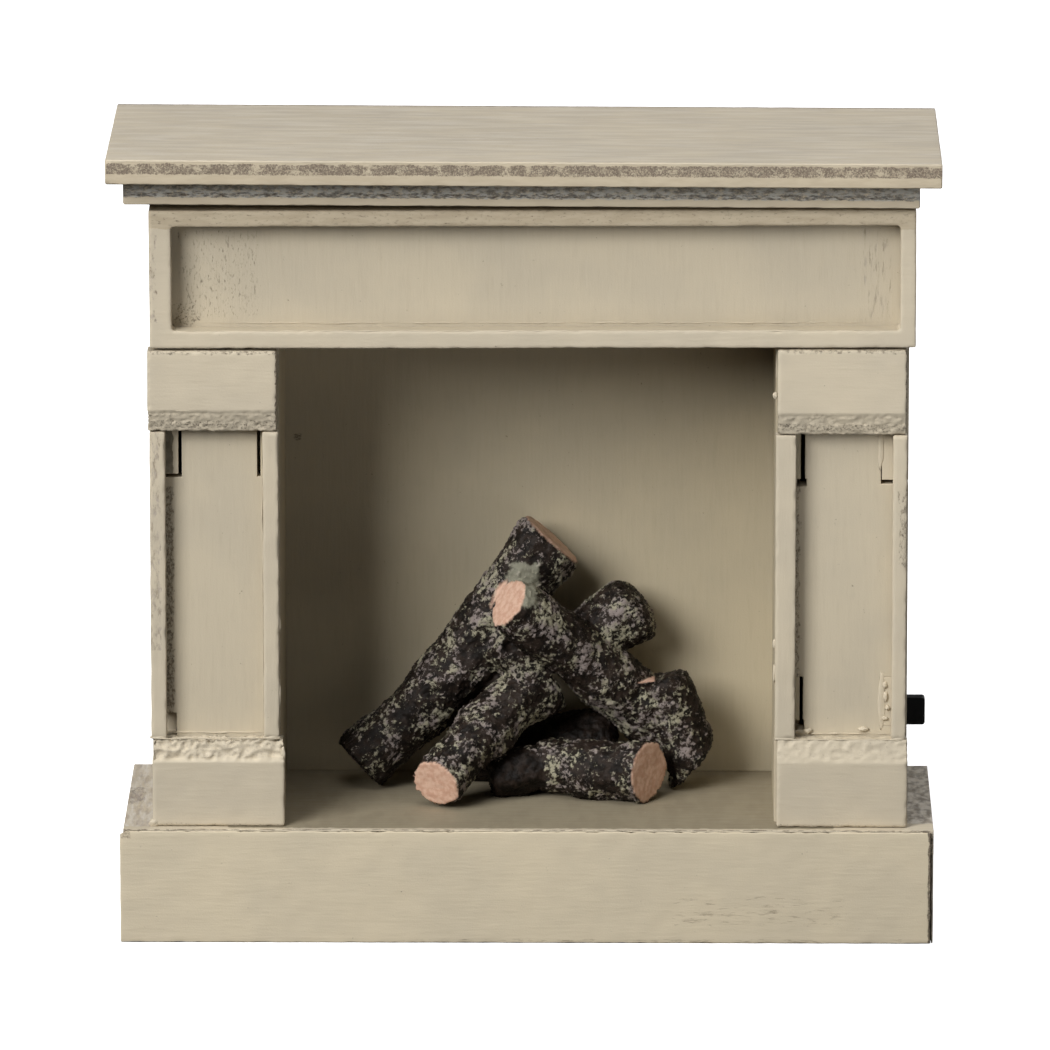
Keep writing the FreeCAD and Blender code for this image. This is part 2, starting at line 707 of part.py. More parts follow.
def wire(name, route):
    """Round wire along straight runs that tangent arcs join. Prints its length and arc radii."""
    points = [FreeCAD.Vector(*p) for p in route]
    edges = []
    radii = []
    start = points[0]
    for before, here, after in zip(points, points[1:], points[2:]):
        run_in = here - before
        run_out = after - here
        half_turn = run_in.getAngle(run_out) / 2.0
        radius = 0.45 * min(run_in.Length, run_out.Length) / math.tan(half_turn)
        back_off = radius * math.tan(half_turn)
        unit_in = FreeCAD.Vector(run_in).normalize()
        unit_out = FreeCAD.Vector(run_out).normalize()
        arc_start = here - unit_in * back_off
        arc_end = here + unit_out * back_off
        toward_centre = (unit_out - unit_in).normalize()
        middle = here + toward_centre * (radius / math.cos(half_turn) - radius)
        edges.append(Part.LineSegment(start, arc_start).toShape())
        edges.append(Part.Arc(arc_start, middle, arc_end).toShape())
        radii.append(round(radius, 1))
        start = arc_end
    edges.append(Part.LineSegment(start, points[-1]).toShape())
    path = Part.Wire(edges)
    circle = Part.makeCircle(WIRE_RADIUS, points[0], points[1] - points[0])
    tube = path.makePipeShell([Part.Wire(circle)], True, True)
    expected = math.pi * WIRE_RADIUS ** 2 * path.Length
    print(name, "length", round(path.Length, 1), "radii", radii, "volume ratio", round(tube.Volume / expected, 4))
    return tube


def wires():
    """Internal wires. The first and last run of each are square to the face that it is soldered to."""
    tab_end = TRAY_RIGHT + 1.1
    tab_z = CELL_Z + 0.45
    low_tab = switch_middle() - 4.0
    mid_tab = switch_middle()
    tip = SWITCH_WALL - SWITCH_PLATE - SWITCH_CAN
    near_x = tip - 1.6
    far_x = tip - 3.3
    return {
        "wire_battery_to_switch": wire("wire_battery_to_switch", [
            (tab_end, -5.0, tab_z), (tab_end + 7.0, -5.0, tab_z), (19.0, -3.2, 6.8), (30.0, 0.6, 6.6),
            (40.5, 3.0, 6.8), (near_x - 0.3, SWITCH_Y, 9.4), (near_x, SWITCH_Y, 15.6),
            (near_x, SWITCH_Y, low_tab)]),
        "wire_switch_to_resistor": wire("wire_switch_to_resistor", [
            (25.5, LAMP_Y, LEAD_Z), (30.5, LAMP_Y, LEAD_Z), (36.5, 7.6, 9.0), (42.5, 5.0, 9.6),
            (far_x - 0.4, SWITCH_Y, 12.0), (far_x, SWITCH_Y, 18.4), (far_x, SWITCH_Y, mid_tab)]),
        "wire_lamp_to_battery": wire("wire_lamp_to_battery", [
            (8.5, LAMP_Y, LEAD_Z), (7.0, LAMP_Y, LEAD_Z), (4.1, 9.4, tab_z), (tab_end, 9.4, tab_z)]),
    }


# ---- log pile ----------------------------------------------------------------------------------------------


def log(start, end, r0, r1, cut_start, cut_end):
    """Tapered round log whose two ends are sawn square to the given directions."""
    first = FreeCAD.Vector(*start)
    last = FreeCAD.Vector(*end)
    along = (last - first).normalize()
    spare = 4.0
    length = (last - first).Length
    growth = (r1 - r0) / length
    body = Part.makeCone(
        r0 - growth * spare, r1 + growth * spare, length + 2 * spare, first - along * spare, along)
    for place, direction in ((first, cut_start), (last, cut_end)):
        outward = FreeCAD.Vector(*direction).normalize()
        saw = Part.makeCylinder(20.0, 20.0, place, outward)
        body = body.cut(saw)
    return body


def log_pile():
    """Six logs. Each later log is coped to fit against the ones before it, and all sit on the hearth."""
    shapes = {
        "log_back_left": log(
            (-26.9, 9.0, 21.8), (4.7, 12.0, 58.0), 5.1, 5.2, (-0.60, -0.30, -0.74), (0.667, 0.064, 0.742)),
        "log_right_diagonal": log(
            (-2.7, 2.0, 50.2), (21.5, 12.0, 27.6), 4.7, 5.4, (-0.72, -0.42, 0.55), (0.70, 0.35, -0.62)),
        "log_front_centre": log(
            (-14.2, -6.2, 22.4), (3.2, 8.6, 35.4), 4.2, 4.6, (-0.50, -0.80, -0.33), (0.66, 0.56, 0.50)),
        "log_front_lying": log(
            (2.2, 5.2, 22.95), (19.8, -1.2, 23.45), 4.45, 5.05, (-0.94, 0.34, 0.0), (0.88, -0.47, 0.02)),
        "log_back_stub": log(
            (8.3, 11.5, 40.2), (17.8, 12.2, 45.9), 5.4, 5.7, (-0.86, 0.0, -0.51), (0.97, -0.05, 0.22)),
        "log_right_stump": log(
            (26.7, 9.0, 22.0), (21.0, 8.2, 36.6), 4.7, 4.6, (0.75, 0.05, -0.66), (-0.25, -0.02, 0.97)),
    }
    pile = None
    fitted = {}
    hearth = box(BASE_LEFT, BASE_RIGHT, BASE_FRONT, BACK, 0.0, HEARTH_TOP)
    for name, shape in shapes.items():
        piece = shape.cut(hearth)
        if pile is not None:
            piece = piece.cut(pile)
        piece = max(piece.Solids, key=lambda solid: solid.Volume)
        pile = piece if pile is None else pile.fuse(piece)
        fitted[name] = piece
    return fitted


# ---- the whole object --------------------------------------------------------------------------------------


def build():
    nodes = {
        "shelf_board": shelf_board(),
        "bed_board": bed_board(),
        "front_board": front_board(),
        "left_outer_wall": left_outer_wall(),
        "left_cheek": left_cheek(),
        "right_cheek": right_cheek(),
        "right_outer_wall": right_outer_wall(),
        "back_board": back_board(),
        "firebox_ceiling": firebox_ceiling(),
        "hearth_plate": hearth_plate(),
        "base_front": base_front(),
        "base_left_end": base_end(BASE_LEFT, BASE_LEFT + BOARD),
        "base_right_end": base_right_end(),
        "base_back": base_back(),
        "base_bottom": base_bottom(),
        "battery_tray": battery_tray(),
        "battery_door": battery_door(),
        "battery_door_screw": battery_door_screw(),
        "tray_screws": tray_screws(),
        "contact_springs": contact_springs(),
        "contact_plates": contact_plates(),
        "switch_body": switch_body(),
        "switch_terminals": switch_terminals(),
        "switch_knob": switch_knob(),
        "switch_screws": switch_screws(),
        "lamp_holder": lamp_holder(),
        "lamp": lamp(),
        "lamp_leads": lamp_leads(),
        "resistor": resistor(),
    }
    nodes.update(frieze_strips())
    nodes.update(column_pieces())
    nodes.update(cells())
    nodes.update(wires())
    nodes.update(log_pile())
    return nodes


def main():
    os.makedirs("parts", exist_ok=True)
    for name, shape in build().items():
        if not shape.isValid():
            raise ValueError(name + " is not a valid shape")
        shape.exportStep(os.path.join("parts", name + ".step"))


main()
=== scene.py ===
"""Miniature fireplace mantel: the looks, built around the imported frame.

Lengths are in mm, except on the stage, where they are in metres like the scene.
"""

import json
import math

import bmesh
import bpy
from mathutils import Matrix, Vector, noise


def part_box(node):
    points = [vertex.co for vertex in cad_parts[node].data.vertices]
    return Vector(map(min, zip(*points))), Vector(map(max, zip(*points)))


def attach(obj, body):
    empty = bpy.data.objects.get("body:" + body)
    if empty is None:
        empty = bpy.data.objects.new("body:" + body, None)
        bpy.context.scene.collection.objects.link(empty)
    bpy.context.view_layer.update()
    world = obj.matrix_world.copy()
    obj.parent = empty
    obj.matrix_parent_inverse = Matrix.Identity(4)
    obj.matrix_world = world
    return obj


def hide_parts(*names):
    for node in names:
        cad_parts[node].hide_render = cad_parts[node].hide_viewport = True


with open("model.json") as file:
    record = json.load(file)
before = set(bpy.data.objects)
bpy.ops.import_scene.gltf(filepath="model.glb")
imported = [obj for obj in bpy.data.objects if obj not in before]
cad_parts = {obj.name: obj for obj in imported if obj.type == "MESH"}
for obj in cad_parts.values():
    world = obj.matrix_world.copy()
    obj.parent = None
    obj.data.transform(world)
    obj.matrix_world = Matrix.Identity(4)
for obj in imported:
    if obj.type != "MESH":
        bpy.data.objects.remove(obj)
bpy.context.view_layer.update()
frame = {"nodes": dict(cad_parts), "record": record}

MM = 0.001
NOISE_SEED = 7
SLOTS = {part["node"]: part["material_slot"] for part in frame["record"]["subparts"]}

# ---- where things are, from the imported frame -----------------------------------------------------


def low(node, axis):
    """Lowest coordinate of a CAD node along an axis, in mm."""
    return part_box(node)[0][axis] / MM


def high(node, axis):
    """Highest coordinate of a CAD node along an axis, in mm."""
    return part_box(node)[1][axis] / MM


X, Y, Z = range(3)
SHELF_TILT = math.tan(math.radians(0.2))
SHELF_TOP = high("shelf_board", Z) - SHELF_TILT * high("shelf_board", X)
SHELF_THICK = 3.95
SHELF_FRONT = low("shelf_board", Y)
BED_FRONT = low("bed_board", Y)
BED_TOP = SHELF_TOP - SHELF_THICK
BED_BOTTOM = 118.33
BACK = high("back_board", Y)
PANEL_FRONT = low("front_board", Y)
TRIM_FRONT = low("left_capital", Y)
BASE_FRONT = low("base_front", Y)
BASE_TOP = high("base_front", Z)
HEARTH_TOP = high("hearth_plate", Z)

# ---- node materials ------------------------------------------------------------------------------


def tone(red, green, blue):
    """Linear colour from 8-bit display values."""
    def linear(value):
        share = value / 255.0
        return share / 12.92 if share <= 0.04045 else ((share + 0.055) / 1.055) ** 2.4
    return (linear(red), linear(green), linear(blue), 1.0)


EDGE_GRAIN = 1.6


class Look:
    """A material being built. Its methods add nodes, and return the socket with their result."""

    def __init__(self, name, specular=0.35, metallic=0.0):
        self.material = bpy.data.materials.new(name)
        self.material.use_nodes = True
        self.tree = self.material.node_tree
        self.shader = self.tree.nodes["Principled BSDF"]
        self.shader.inputs["Specular IOR Level"].default_value = specular
        self.shader.inputs["Metallic"].default_value = metallic
        self.place = self.add("ShaderNodeTexCoord").outputs["Object"]
        split = self.add("ShaderNodeSeparateXYZ")
        self.tree.links.new(self.place, split.inputs[0])
        self.axes = list(split.outputs)
        self.seed = 0.0

    def add(self, kind, **settings):
        node = self.tree.nodes.new(kind)
        for key, value in settings.items():
            setattr(node, key, value)
        return node

    def plug(self, value, socket):
        if isinstance(value, bpy.types.NodeSocket):
            self.tree.links.new(value, socket)
        else:
            socket.default_value = value

    def math(self, operation, first, second=0.0):
        node = self.add("ShaderNodeMath", operation=operation)
        self.plug(first, node.inputs[0])
        self.plug(second, node.inputs[1])
        return node.outputs[0]

    def ramp(self, value, start, end, below=0.0, above=1.0):
        node = self.add("ShaderNodeMapRange", interpolation_type="SMOOTHSTEP")
        self.plug(value, node.inputs["Value"])
        for key, number in (("From Min", start), ("From Max", end), ("To Min", below), ("To Max", above)):
            node.inputs[key].default_value = number
        return node.outputs["Result"]

    def noise(self, size, stretch=(1, 1, 1), detail=4.0, rough=0.55):
        """Noise whose features are about size mm across, longer by stretch along each axis."""
        self.seed += 7.3
        mapping = self.add("ShaderNodeMapping")
        self.tree.links.new(self.place, mapping.inputs["Vector"])
        mapping.inputs["Scale"].default_value = [1.0 / (size * MM * s) for s in stretch]
        mapping.inputs["Location"].default_value = (self.seed, self.seed * 0.7, self.seed * 1.3)
        node = self.add("ShaderNodeTexNoise")
        self.tree.links.new(mapping.outputs["Vector"], node.inputs["Vector"])
        node.inputs["Scale"].default_value = 1.0
        node.inputs["Detail"].default_value = detail
        node.inputs["Roughness"].default_value = rough
        return node.outputs[0]

    def mix(self, amount, first, second):
        node = self.add("ShaderNodeMix", data_type="RGBA")
        self.plug(amount, node.inputs[0])
        self.plug(first, node.inputs[6])
        self.plug(second, node.inputs[7])
        return node.outputs[2]

    def tinted(self, colour, tint):
        """The colour multiplied by a tint."""
        node = self.add("ShaderNodeMix", data_type="RGBA", blend_type="MULTIPLY")
        node.inputs[0].default_value = 1.0
        self.plug(colour, node.inputs[6])
        node.inputs[7].default_value = (*tint, 1.0)
        return node.outputs[2]

    def inside(self, bounds, soft, ragged=0.5, tilt=0.0):
        """1 within bounds {axis: (low, high)} in mm, fading over soft mm, with a ragged edge."""
        mask = 1.0
        drift = self.math("SUBTRACT", self.noise(EDGE_GRAIN, detail=5), 0.5)
        wander = self.math("MULTIPLY", drift, 2 * ragged * MM)
        for axis, (start, end) in bounds.items():
            along = self.math("ADD", self.axes[axis], wander)
            if axis == Z and tilt:
                along = self.math("ADD", along, self.math("MULTIPLY", self.axes[X], tilt))
            rise = self.ramp(along, (start - soft / 2) * MM, (start + soft / 2) * MM)
            fall = self.ramp(along, (end - soft / 2) * MM, (end + soft / 2) * MM, 1.0, 0.0)
            mask = self.math("MULTIPLY", mask, self.math("MULTIPLY", rise, fall))
        return mask

    def done(self, colour, roughness, height=None, depth=0.05):
        """Plugs the results in. depth is how far, in mm, the bump's full height stands."""
        self.plug(colour, self.shader.inputs["Base Color"])
        self.plug(roughness, self.shader.inputs["Roughness"])
        if height is not None:
            bump = self.add("ShaderNodeBump")
            bump.inputs["Strength"].default_value = 1.0
            bump.inputs["Distance"].default_value = depth * MM
            self.plug(height, bump.inputs["Height"])
            self.plug(bump.outputs[0], self.shader.inputs["Normal"])
        return self.material


PAINT_WARM = tone(199, 187, 164)
PAINT_COOL = tone(192, 181, 160)
PAINT_DARK = tone(166, 153, 131)
PAINT_PALE = tone(214, 206, 190)
# Bare board tones, which also serve as painted shade in two recess strips and on the base's right edge.
BARE_BROWN_AND_SHADE = tone(120, 105, 88)
BARE_LILAC = tone(158, 146, 138)
BARE_DARK_AND_SHADE = tone(78, 67, 57)
BOARD_GREY = tone(220, 213, 202)
BOARD_DEEP = tone(140, 131, 121)
SMOKE_BLUE = tone(168, 168, 163)
SMOKE_BLACK = tone(92, 90, 86)
STREAK_GREY = tone(170, 163, 158)
STREAK_PALE = tone(212, 207, 200)
# Painted shade: tones for the hearth inside the firebox, darkened for the shade there.
HEARTH_SHADE = tone(136, 126, 104)
HEARTH_SHADE_DEEP = tone(128, 118, 97)
# Grime tones, which also serve as painted shade on the frieze's top rail and on the bed front under the
# shelf.
GRIME_AND_SHADE = tone(184, 170, 145)
GRIME_AND_SHADE_DEEP = tone(172, 157, 132)
# Painted shade: darker, greener tones for the left finger joint's tongue, in the outer stile's shadow.
FINGER_SHADE = tone(128, 124, 108)
FINGER_SHADE_DEEP = tone(98, 93, 80)
# Dark specks, which also serve as painted shade in the left recess strip and on the base's right edge.
SPECK_AND_SHADE = tone(84, 72, 60)
NICK_LIGHT = tone(116, 101, 88)
NICK_DARK = tone(80, 68, 59)
BARK_BLACK = tone(20, 15, 11)
BARK_BROWN = tone(43, 34, 28)
DAB_GREEN = tone(158, 153, 131)
DAB_LILAC = tone(140, 129, 124)
DAB_BRIGHT = tone(192, 186, 168)
WASH_GREEN = tone(168, 166, 146)
SAWN_PALE = tone(212, 178, 156)
SAWN_ROSE = tone(196, 156, 134)
# Painted shade: the firebox's back and cheeks are tinted darker and more olive, for the shade inside it.
CAVITY_SHADE_TINT = (0.82, 0.81, 0.75)
PANEL_TINT = (0.93, 0.93, 0.92)
# Painted light: the base front's paint is tinted lighter, for the light that falls on it.
BASE_LIGHT_TINT = (1.15, 1.14, 1.10)

ALONG_X = (9, 1, 1)
ALONG_Y = (1, 9, 1)
ALONG_Z = (1, 1, 9)

DRIFT_SIZE = 16
BRUSH_SIZE = 0.7
FINE_SIZE = 0.28
SPECK_SIZE = 0.9
PAINT_DEPTH = 0.07


def wear_and_shade(bounds, cover, first, second, soft=0.9, grain=0.3, stretch=(1, 1, 1), ragged=0.5, tilt=0.0,
         blend=0.10, strength=0.85):
    """One worn area, or one area of painted shade: where it is, how much of it is covered, and the two
    tones that show.

    Its edge fades over soft mm and strays by ragged mm. Its flecks are about grain mm across, longer by
    stretch, with borders as wide as blend says. strength is how far they hide the paint.
    """
    return {
        "bounds": bounds, "cover": cover, "first": first, "second": second, "soft": soft,
        "grain": grain, "stretch": stretch, "ragged": ragged, "tilt": tilt, "blend": blend,
        "strength": strength}


def painted(name, grain, areas=(), tint=None):
    """Chalky paint on fibre board: tone drift, brush grain, a few specks, the worn areas and the areas of
    painted shade, and a tint, which is painted light on the base front and painted shade in the firebox.
    """
    look = Look(name)
    colour = look.mix(look.ramp(look.noise(DRIFT_SIZE), 0.35, 0.65), PAINT_WARM, PAINT_COOL)
    brush = look.noise(BRUSH_SIZE, grain, 6, 0.6)
    fine = look.noise(FINE_SIZE, detail=4)
    colour = look.mix(look.ramp(brush, 0.48, 0.8, 0.0, 0.16), colour, PAINT_DARK)
    colour = look.mix(look.ramp(brush, 0.2, 0.42, 0.14, 0.0), colour, PAINT_PALE)
    specks = look.ramp(look.noise(SPECK_SIZE, detail=3, rough=0.7), 0.70, 0.76, 0.0, 0.55)
    colour = look.mix(specks, colour, SPECK_AND_SHADE)
    height = look.math("ADD", look.math("MULTIPLY", brush, 0.7), look.math("MULTIPLY", fine, 0.3))
    rough = look.ramp(brush, 0.3, 0.7, 0.55, 0.72)
    for area in areas:
        mask = look.inside(area["bounds"], area["soft"], area["ragged"], area["tilt"])
        flecks = look.noise(area["grain"], area["stretch"], 6, 0.72)
        level = look.math("ADD", flecks, look.math("SUBTRACT", mask, 1.0))
        edge = 0.66 - 0.30 * area["cover"]
        # How far the area's tones cover the paint: worn paint in worn areas, painted shade in shaded ones.
        gone = look.ramp(level, edge - area["blend"], edge + area["blend"], 0.0, area["strength"])
        overlay_tone = look.mix(look.ramp(look.noise(area["grain"] * 1.7, area["stretch"], 5), 0.40, 0.62),
                        area["first"], area["second"])
        colour = look.mix(gone, colour, overlay_tone)
        height = look.math("SUBTRACT", height, look.math("MULTIPLY", gone, 0.6))
    if tint:
        colour = look.tinted(colour, tint)
    return look.done(colour, rough, height, PAINT_DEPTH)


def simple(name, base, other, size, roughness, depth, specular=0.5, metallic=0.0):
    """Moulded plastic, metal or board: two tones, fine marks that change gloss, and a fine bump."""
    look = Look(name, specular, metallic)
    marks = look.noise(size, detail=6, rough=0.6)
    colour = look.mix(look.ramp(marks, 0.35, 0.68), base, other)
    rough = look.ramp(marks, 0.3, 0.7, roughness - 0.07, roughness + 0.10)
    return look.done(colour, rough, marks, depth)


# ---- boards --------------------------------------------------------------------------------------


WELD = 0.002
FLAT_ANGLE = math.radians(1)
SHARP_ANGLE = math.radians(25)


def welded(*nodes):
    """The nodes' meshes as one, with their split corners joined."""
    shape = bmesh.new()
    for node in nodes:
        shape.from_mesh(frame["nodes"][node].data)
    bmesh.ops.remove_doubles(shape, verts=shape.verts, dist=WELD * MM)
    return shape


def round_edges(shape, width):
    pairs = [edge for edge in shape.edges if len(edge.link_faces) == 2]
    sharp = [edge for edge in pairs if edge.calc_face_angle() > SHARP_ANGLE]
    bmesh.ops.bevel(
        shape, geom=sharp, offset=width * MM, segments=3, profile=0.5, affect="EDGES",
        clamp_overlap=True)


def divide(shape, cell):
    """Cuts every long edge, axis by axis, into pieces about cell mm long, and so the faces into a grid."""
    for axis in range(3):
        along = []
        for edge in shape.edges:
            run = edge.verts[1].co - edge.verts[0].co
            if run.length > 1.5 * cell * MM and abs(run[axis]) > 0.97 * run.length:
                along.append(edge)
        along.sort(key=lambda e: (round(e.calc_length() / MM, 3), e.index))
        groups = []
        for edge in along:
            if groups and edge.calc_length() - groups[-1][0].calc_length() < 0.9 * MM:
                groups[-1].append(edge)
            else:
                groups.append([edge])
        for group in groups:
            cuts = int(group[0].calc_length() / (cell * MM))
            bmesh.ops.subdivide_edges(shape, edges=group, cuts=cuts, use_grid_fill=True)


def age(shape, wobble, chips, pits=()):
    """Uneven paint: a low wobble all over, chipped edges, and pits inside the given areas, all inward.

    pits is a list of (bounds {axis: (low, high)}, depth, size), in mm.
    """
    shape.normal_update()
    moves = []
    for vert in shape.verts:
        p = vert.co / MM
        n = vert.normal
        depth = wobble * (0.5 + 0.5 * noise.noise(p * 0.35))
        off_axis = 1.0 - max(abs(n.x), abs(n.y), abs(n.z))
        if off_axis > 0.02:
            depth += chips * max(0.0, noise.noise(p * 0.9) + 0.25) ** 1.5
        for bounds, amount, size in pits:
            if all(start < p[axis] < end for axis, (start, end) in bounds.items()):
                depth += amount * abs(noise.noise(p / size))
                depth += 0.5 * amount * abs(noise.noise(p * 2.1 / size))
        moves.append(-n * depth * MM)
    for vert, move in zip(shape.verts, moves):
        vert.co += move


def add_object(name, data):
    thing = bpy.data.objects.new(name, data)
    bpy.context.scene.collection.objects.link(thing)
    return thing


def put(name, shape, material):
    """Makes a painted piece of the case from the mesh, with soft shading on its rounded edges."""
    mesh = bpy.data.meshes.new(name)
    bmesh.ops.recalc_face_normals(shape, faces=shape.faces)
    shape.to_mesh(mesh)
    shape.free()
    for polygon in mesh.polygons:
        polygon.use_smooth = True
    piece = add_object(name, mesh)
    piece.data.materials.append(material)
    piece.modifiers.new("flat_faces", "WEIGHTED_NORMAL")
    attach(piece, "case")
    return piece


def board(node, material, cell, edge, wobble, chips):
    """A board with rounded, chipped edges that stands for its CAD node."""
    shape = welded(node)
    bmesh.ops.dissolve_limit(shape, angle_limit=FLAT_ANGLE, verts=shape.verts, edges=shape.edges)
    round_edges(shape, edge)
    divide(shape, cell)
    age(shape, wobble, chips)
    piece = put(node + "_painted", shape, material)
    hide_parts(node)


# ---- the painted boards --------------------------------------------------------------------------

# How far wear on a board's front reaches into it, and how far a worn area's bounds run past its surface.
FACE = 0.35
PAST = 1
SHELF_FACE = (SHELF_FRONT - PAST, SHELF_FRONT + FACE)
SHELF_UPPER = (SHELF_TOP - 0.1, SHELF_TOP + PAST)
SHELF_BLOOM = (-64, -44)
SHELF_SIDE_GRIME = (SHELF_TOP - 9, SHELF_TOP - 0.3)
SHELF_SPECKLED = (SHELF_TOP - 2.55, SHELF_TOP - 0.35)
SHELF_BACK_EDGE = {Y: (BACK - 0.9, BACK + PAST), Z: (SHELF_TOP - PAST, SHELF_TOP + PAST)}
SHELF_AREAS = [
    wear_and_shade({Y: SHELF_FACE, Z: SHELF_SIDE_GRIME}, 2.0, GRIME_AND_SHADE, GRIME_AND_SHADE_DEEP,
         soft=0.3, grain=0.6, stretch=(4, 1, 1), ragged=0.2, tilt=SHELF_TILT, strength=0.6),
    wear_and_shade({Y: SHELF_FACE, Z: SHELF_SPECKLED}, 0.74, NICK_LIGHT, NICK_DARK,
         soft=0.8, grain=0.22, ragged=0.35, tilt=SHELF_TILT, strength=0.82),
    wear_and_shade({Z: SHELF_UPPER}, 0.50, STREAK_GREY, STREAK_PALE,
         soft=0.1, grain=0.8, stretch=(10, 1.2, 1), ragged=0.05, tilt=SHELF_TILT, blend=0.30,
         strength=0.45),
    wear_and_shade({Z: SHELF_UPPER, X: SHELF_BLOOM}, 0.55, STREAK_PALE, STREAK_GREY,
         soft=9.0, grain=0.9, stretch=(8, 1, 1), ragged=0.05, tilt=SHELF_TILT, blend=0.25,
         strength=0.40),
    wear_and_shade({Z: SHELF_UPPER, Y: (BACK - 3.6, BACK - 1.2)}, 0.9, STREAK_PALE, PAINT_PALE,
         soft=0.6, grain=1.0, stretch=(6, 1, 1), ragged=0.2, tilt=SHELF_TILT, blend=0.25,
         strength=0.5),
    wear_and_shade(SHELF_BACK_EDGE, 0.9, BARE_BROWN_AND_SHADE, BARE_LILAC, soft=0.3, grain=0.5),
]
BED_FACE = (BED_FRONT - PAST, BED_FRONT + FACE)
BED_SMOKED = (BED_BOTTOM + 1.05, BED_TOP + 2)
BED_SMOKE_EDGE = (BED_BOTTOM + 1.2, BED_BOTTOM + 2.2)
BED_AREAS = [
    # Painted shade with some grime: the whole bed front is dulled, for the shelf's shadow over it.
    wear_and_shade({Y: BED_FACE}, 2.0, GRIME_AND_SHADE, GRIME_AND_SHADE_DEEP,
         soft=0.3, grain=0.6, stretch=(4, 1, 1), ragged=0.2, tilt=SHELF_TILT, strength=0.45),
    wear_and_shade({Y: BED_FACE, Z: BED_SMOKED}, 0.78, SMOKE_BLUE, SMOKE_BLACK,
         soft=0.6, grain=0.35, stretch=(2.2, 1, 1), ragged=0.4, tilt=SHELF_TILT, blend=0.12),
    wear_and_shade({Y: BED_FACE, Z: BED_SMOKE_EDGE}, 0.42, SMOKE_BLACK, BARE_DARK_AND_SHADE,
         soft=0.5, grain=0.3, stretch=(4, 1, 1), ragged=0.3, tilt=SHELF_TILT, blend=0.06,
         strength=0.9),
]


def bevel_band(bottom, top, cover):
    """Wear on a block's sloped edge."""
    return wear_and_shade({Z: (bottom, top)}, cover, BARE_LILAC, BARE_BROWN_AND_SHADE,
                soft=1.4, grain=0.28, ragged=0.7, strength=0.45)


CAPITAL_BEVEL = 3.5
PLINTH_BEVEL = 3.5
PLINTH_FOOT = (17, 19.2)
STILES = ("left_outer_stile", "left_inner_stile", "right_inner_stile", "right_outer_stile")
FRIEZE_NODES = ("frieze_bottom_rail", "frieze_top_rail", "frieze_left_stile", "frieze_right_stile")
FRIEZE_VOXEL = 0.26
COAT_VOXEL = 0.30


def stile_paint():
    left, right = low("left_outer_stile", X), high("right_outer_stile", X)
    return painted("paint_uprights", ALONG_Z, [
        wear_and_shade({X: (left - PAST, left + 2.3), Z: (46, 84)}, 0.34, BARE_LILAC, BARE_BROWN_AND_SHADE,
             soft=1.6, grain=0.5, stretch=(1, 1, 3), ragged=0.8, strength=0.65),
        wear_and_shade({X: (right - 1.6, right + PAST), Z: (60, 73)}, 0.30, BARE_BROWN_AND_SHADE, BARE_DARK_AND_SHADE,
             soft=0.8, grain=0.4, stretch=(1, 1, 2)),
    ])


def capital(node):
    bottom, top, right = low(node, Z), high(node, Z), high(node, X)
    side_edge = {X: (right - 0.35, right + PAST), Y: (TRIM_FRONT - PAST, TRIM_FRONT + 0.9)}
    material = painted("paint_" + node, ALONG_X, [
        bevel_band(bottom - PAST, bottom + CAPITAL_BEVEL + 0.1, 0.16),
        wear_and_shade({Z: (bottom + 0.2, bottom + 2.2)}, 0.26, BARE_DARK_AND_SHADE, SPECK_AND_SHADE,
             soft=1.0, grain=0.35, strength=0.9),
        wear_and_shade({Z: (top - 0.8, top + PAST)}, 0.28, BARE_BROWN_AND_SHADE, BARE_DARK_AND_SHADE, soft=0.5, grain=0.5),
        wear_and_shade(side_edge, 0.6, BARE_DARK_AND_SHADE, BARE_BROWN_AND_SHADE, soft=0.3, grain=0.5),
    ])
    coated(node, material, [({Z: (bottom - PAST, bottom + CAPITAL_BEVEL)}, 0.38, 0.6)])


def plinth(node, worn, pit_depth):
    top = high(node, Z)
    material = painted("paint_" + node, ALONG_X, [
        bevel_band(top - PLINTH_BEVEL, top + PAST, worn),
        wear_and_shade({Z: PLINTH_FOOT}, 0.16, BARE_BROWN_AND_SHADE, BARE_DARK_AND_SHADE, soft=0.8, grain=0.5),
    ])
    coated(node, material, [({Z: (top - PLINTH_BEVEL, top + 0.2)}, pit_depth, 1.5)])


def painted_boards():
    shelf = painted("paint_shelf", ALONG_X, SHELF_AREAS)
    bed = painted("paint_bed", ALONG_X, BED_AREAS)
    uprights = stile_paint()
    board("shelf_board", shelf, cell=1.0, edge=0.22, wobble=0.05, chips=0.22)
    board("bed_board", bed, cell=1.0, edge=0.22, wobble=0.05, chips=0.22)
    frieze_frame()
    for node in STILES:
        board(node, uprights, cell=0.5, edge=0.24, wobble=0.12, chips=0.20)
    capital("left_capital")
    capital("right_capital")
    plinth("left_plinth", worn=0.26, pit_depth=1.0)
    plinth("right_plinth", worn=0.08, pit_depth=0.25)


def cast(name, shape, voxel, passes):
    """One closed skin round the mesh's overlapping or touching parts, slightly softened."""
    mesh = bpy.data.meshes.new(name)
    shape.to_mesh(mesh)
    shape.free()
    piece = add_object(name, mesh)
    remesh = piece.modifiers.new("one_skin", "REMESH")
    remesh.mode = "VOXEL"
    remesh.voxel_size = voxel * MM
    soften = piece.modifiers.new("soften", "SMOOTH")
    soften.iterations = passes
    bpy.context.view_layer.update()
    result = piece.evaluated_get(bpy.context.evaluated_depsgraph_get())
    skin = bpy.data.meshes.new_from_object(result)
    bpy.data.objects.remove(piece)
    bpy.data.meshes.remove(mesh)
    return skin


def coated(node, material, pits):
    """A block under a thick coat of paint that follows its sloping face."""
    shape = bmesh.new()
    shape.from_mesh(cast(node + "_skin", welded(node), COAT_VOXEL, 1))
    age(shape, 0.10, 0.16, pits)
    piece = put(node + "_painted", shape, material)
    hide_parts(node)


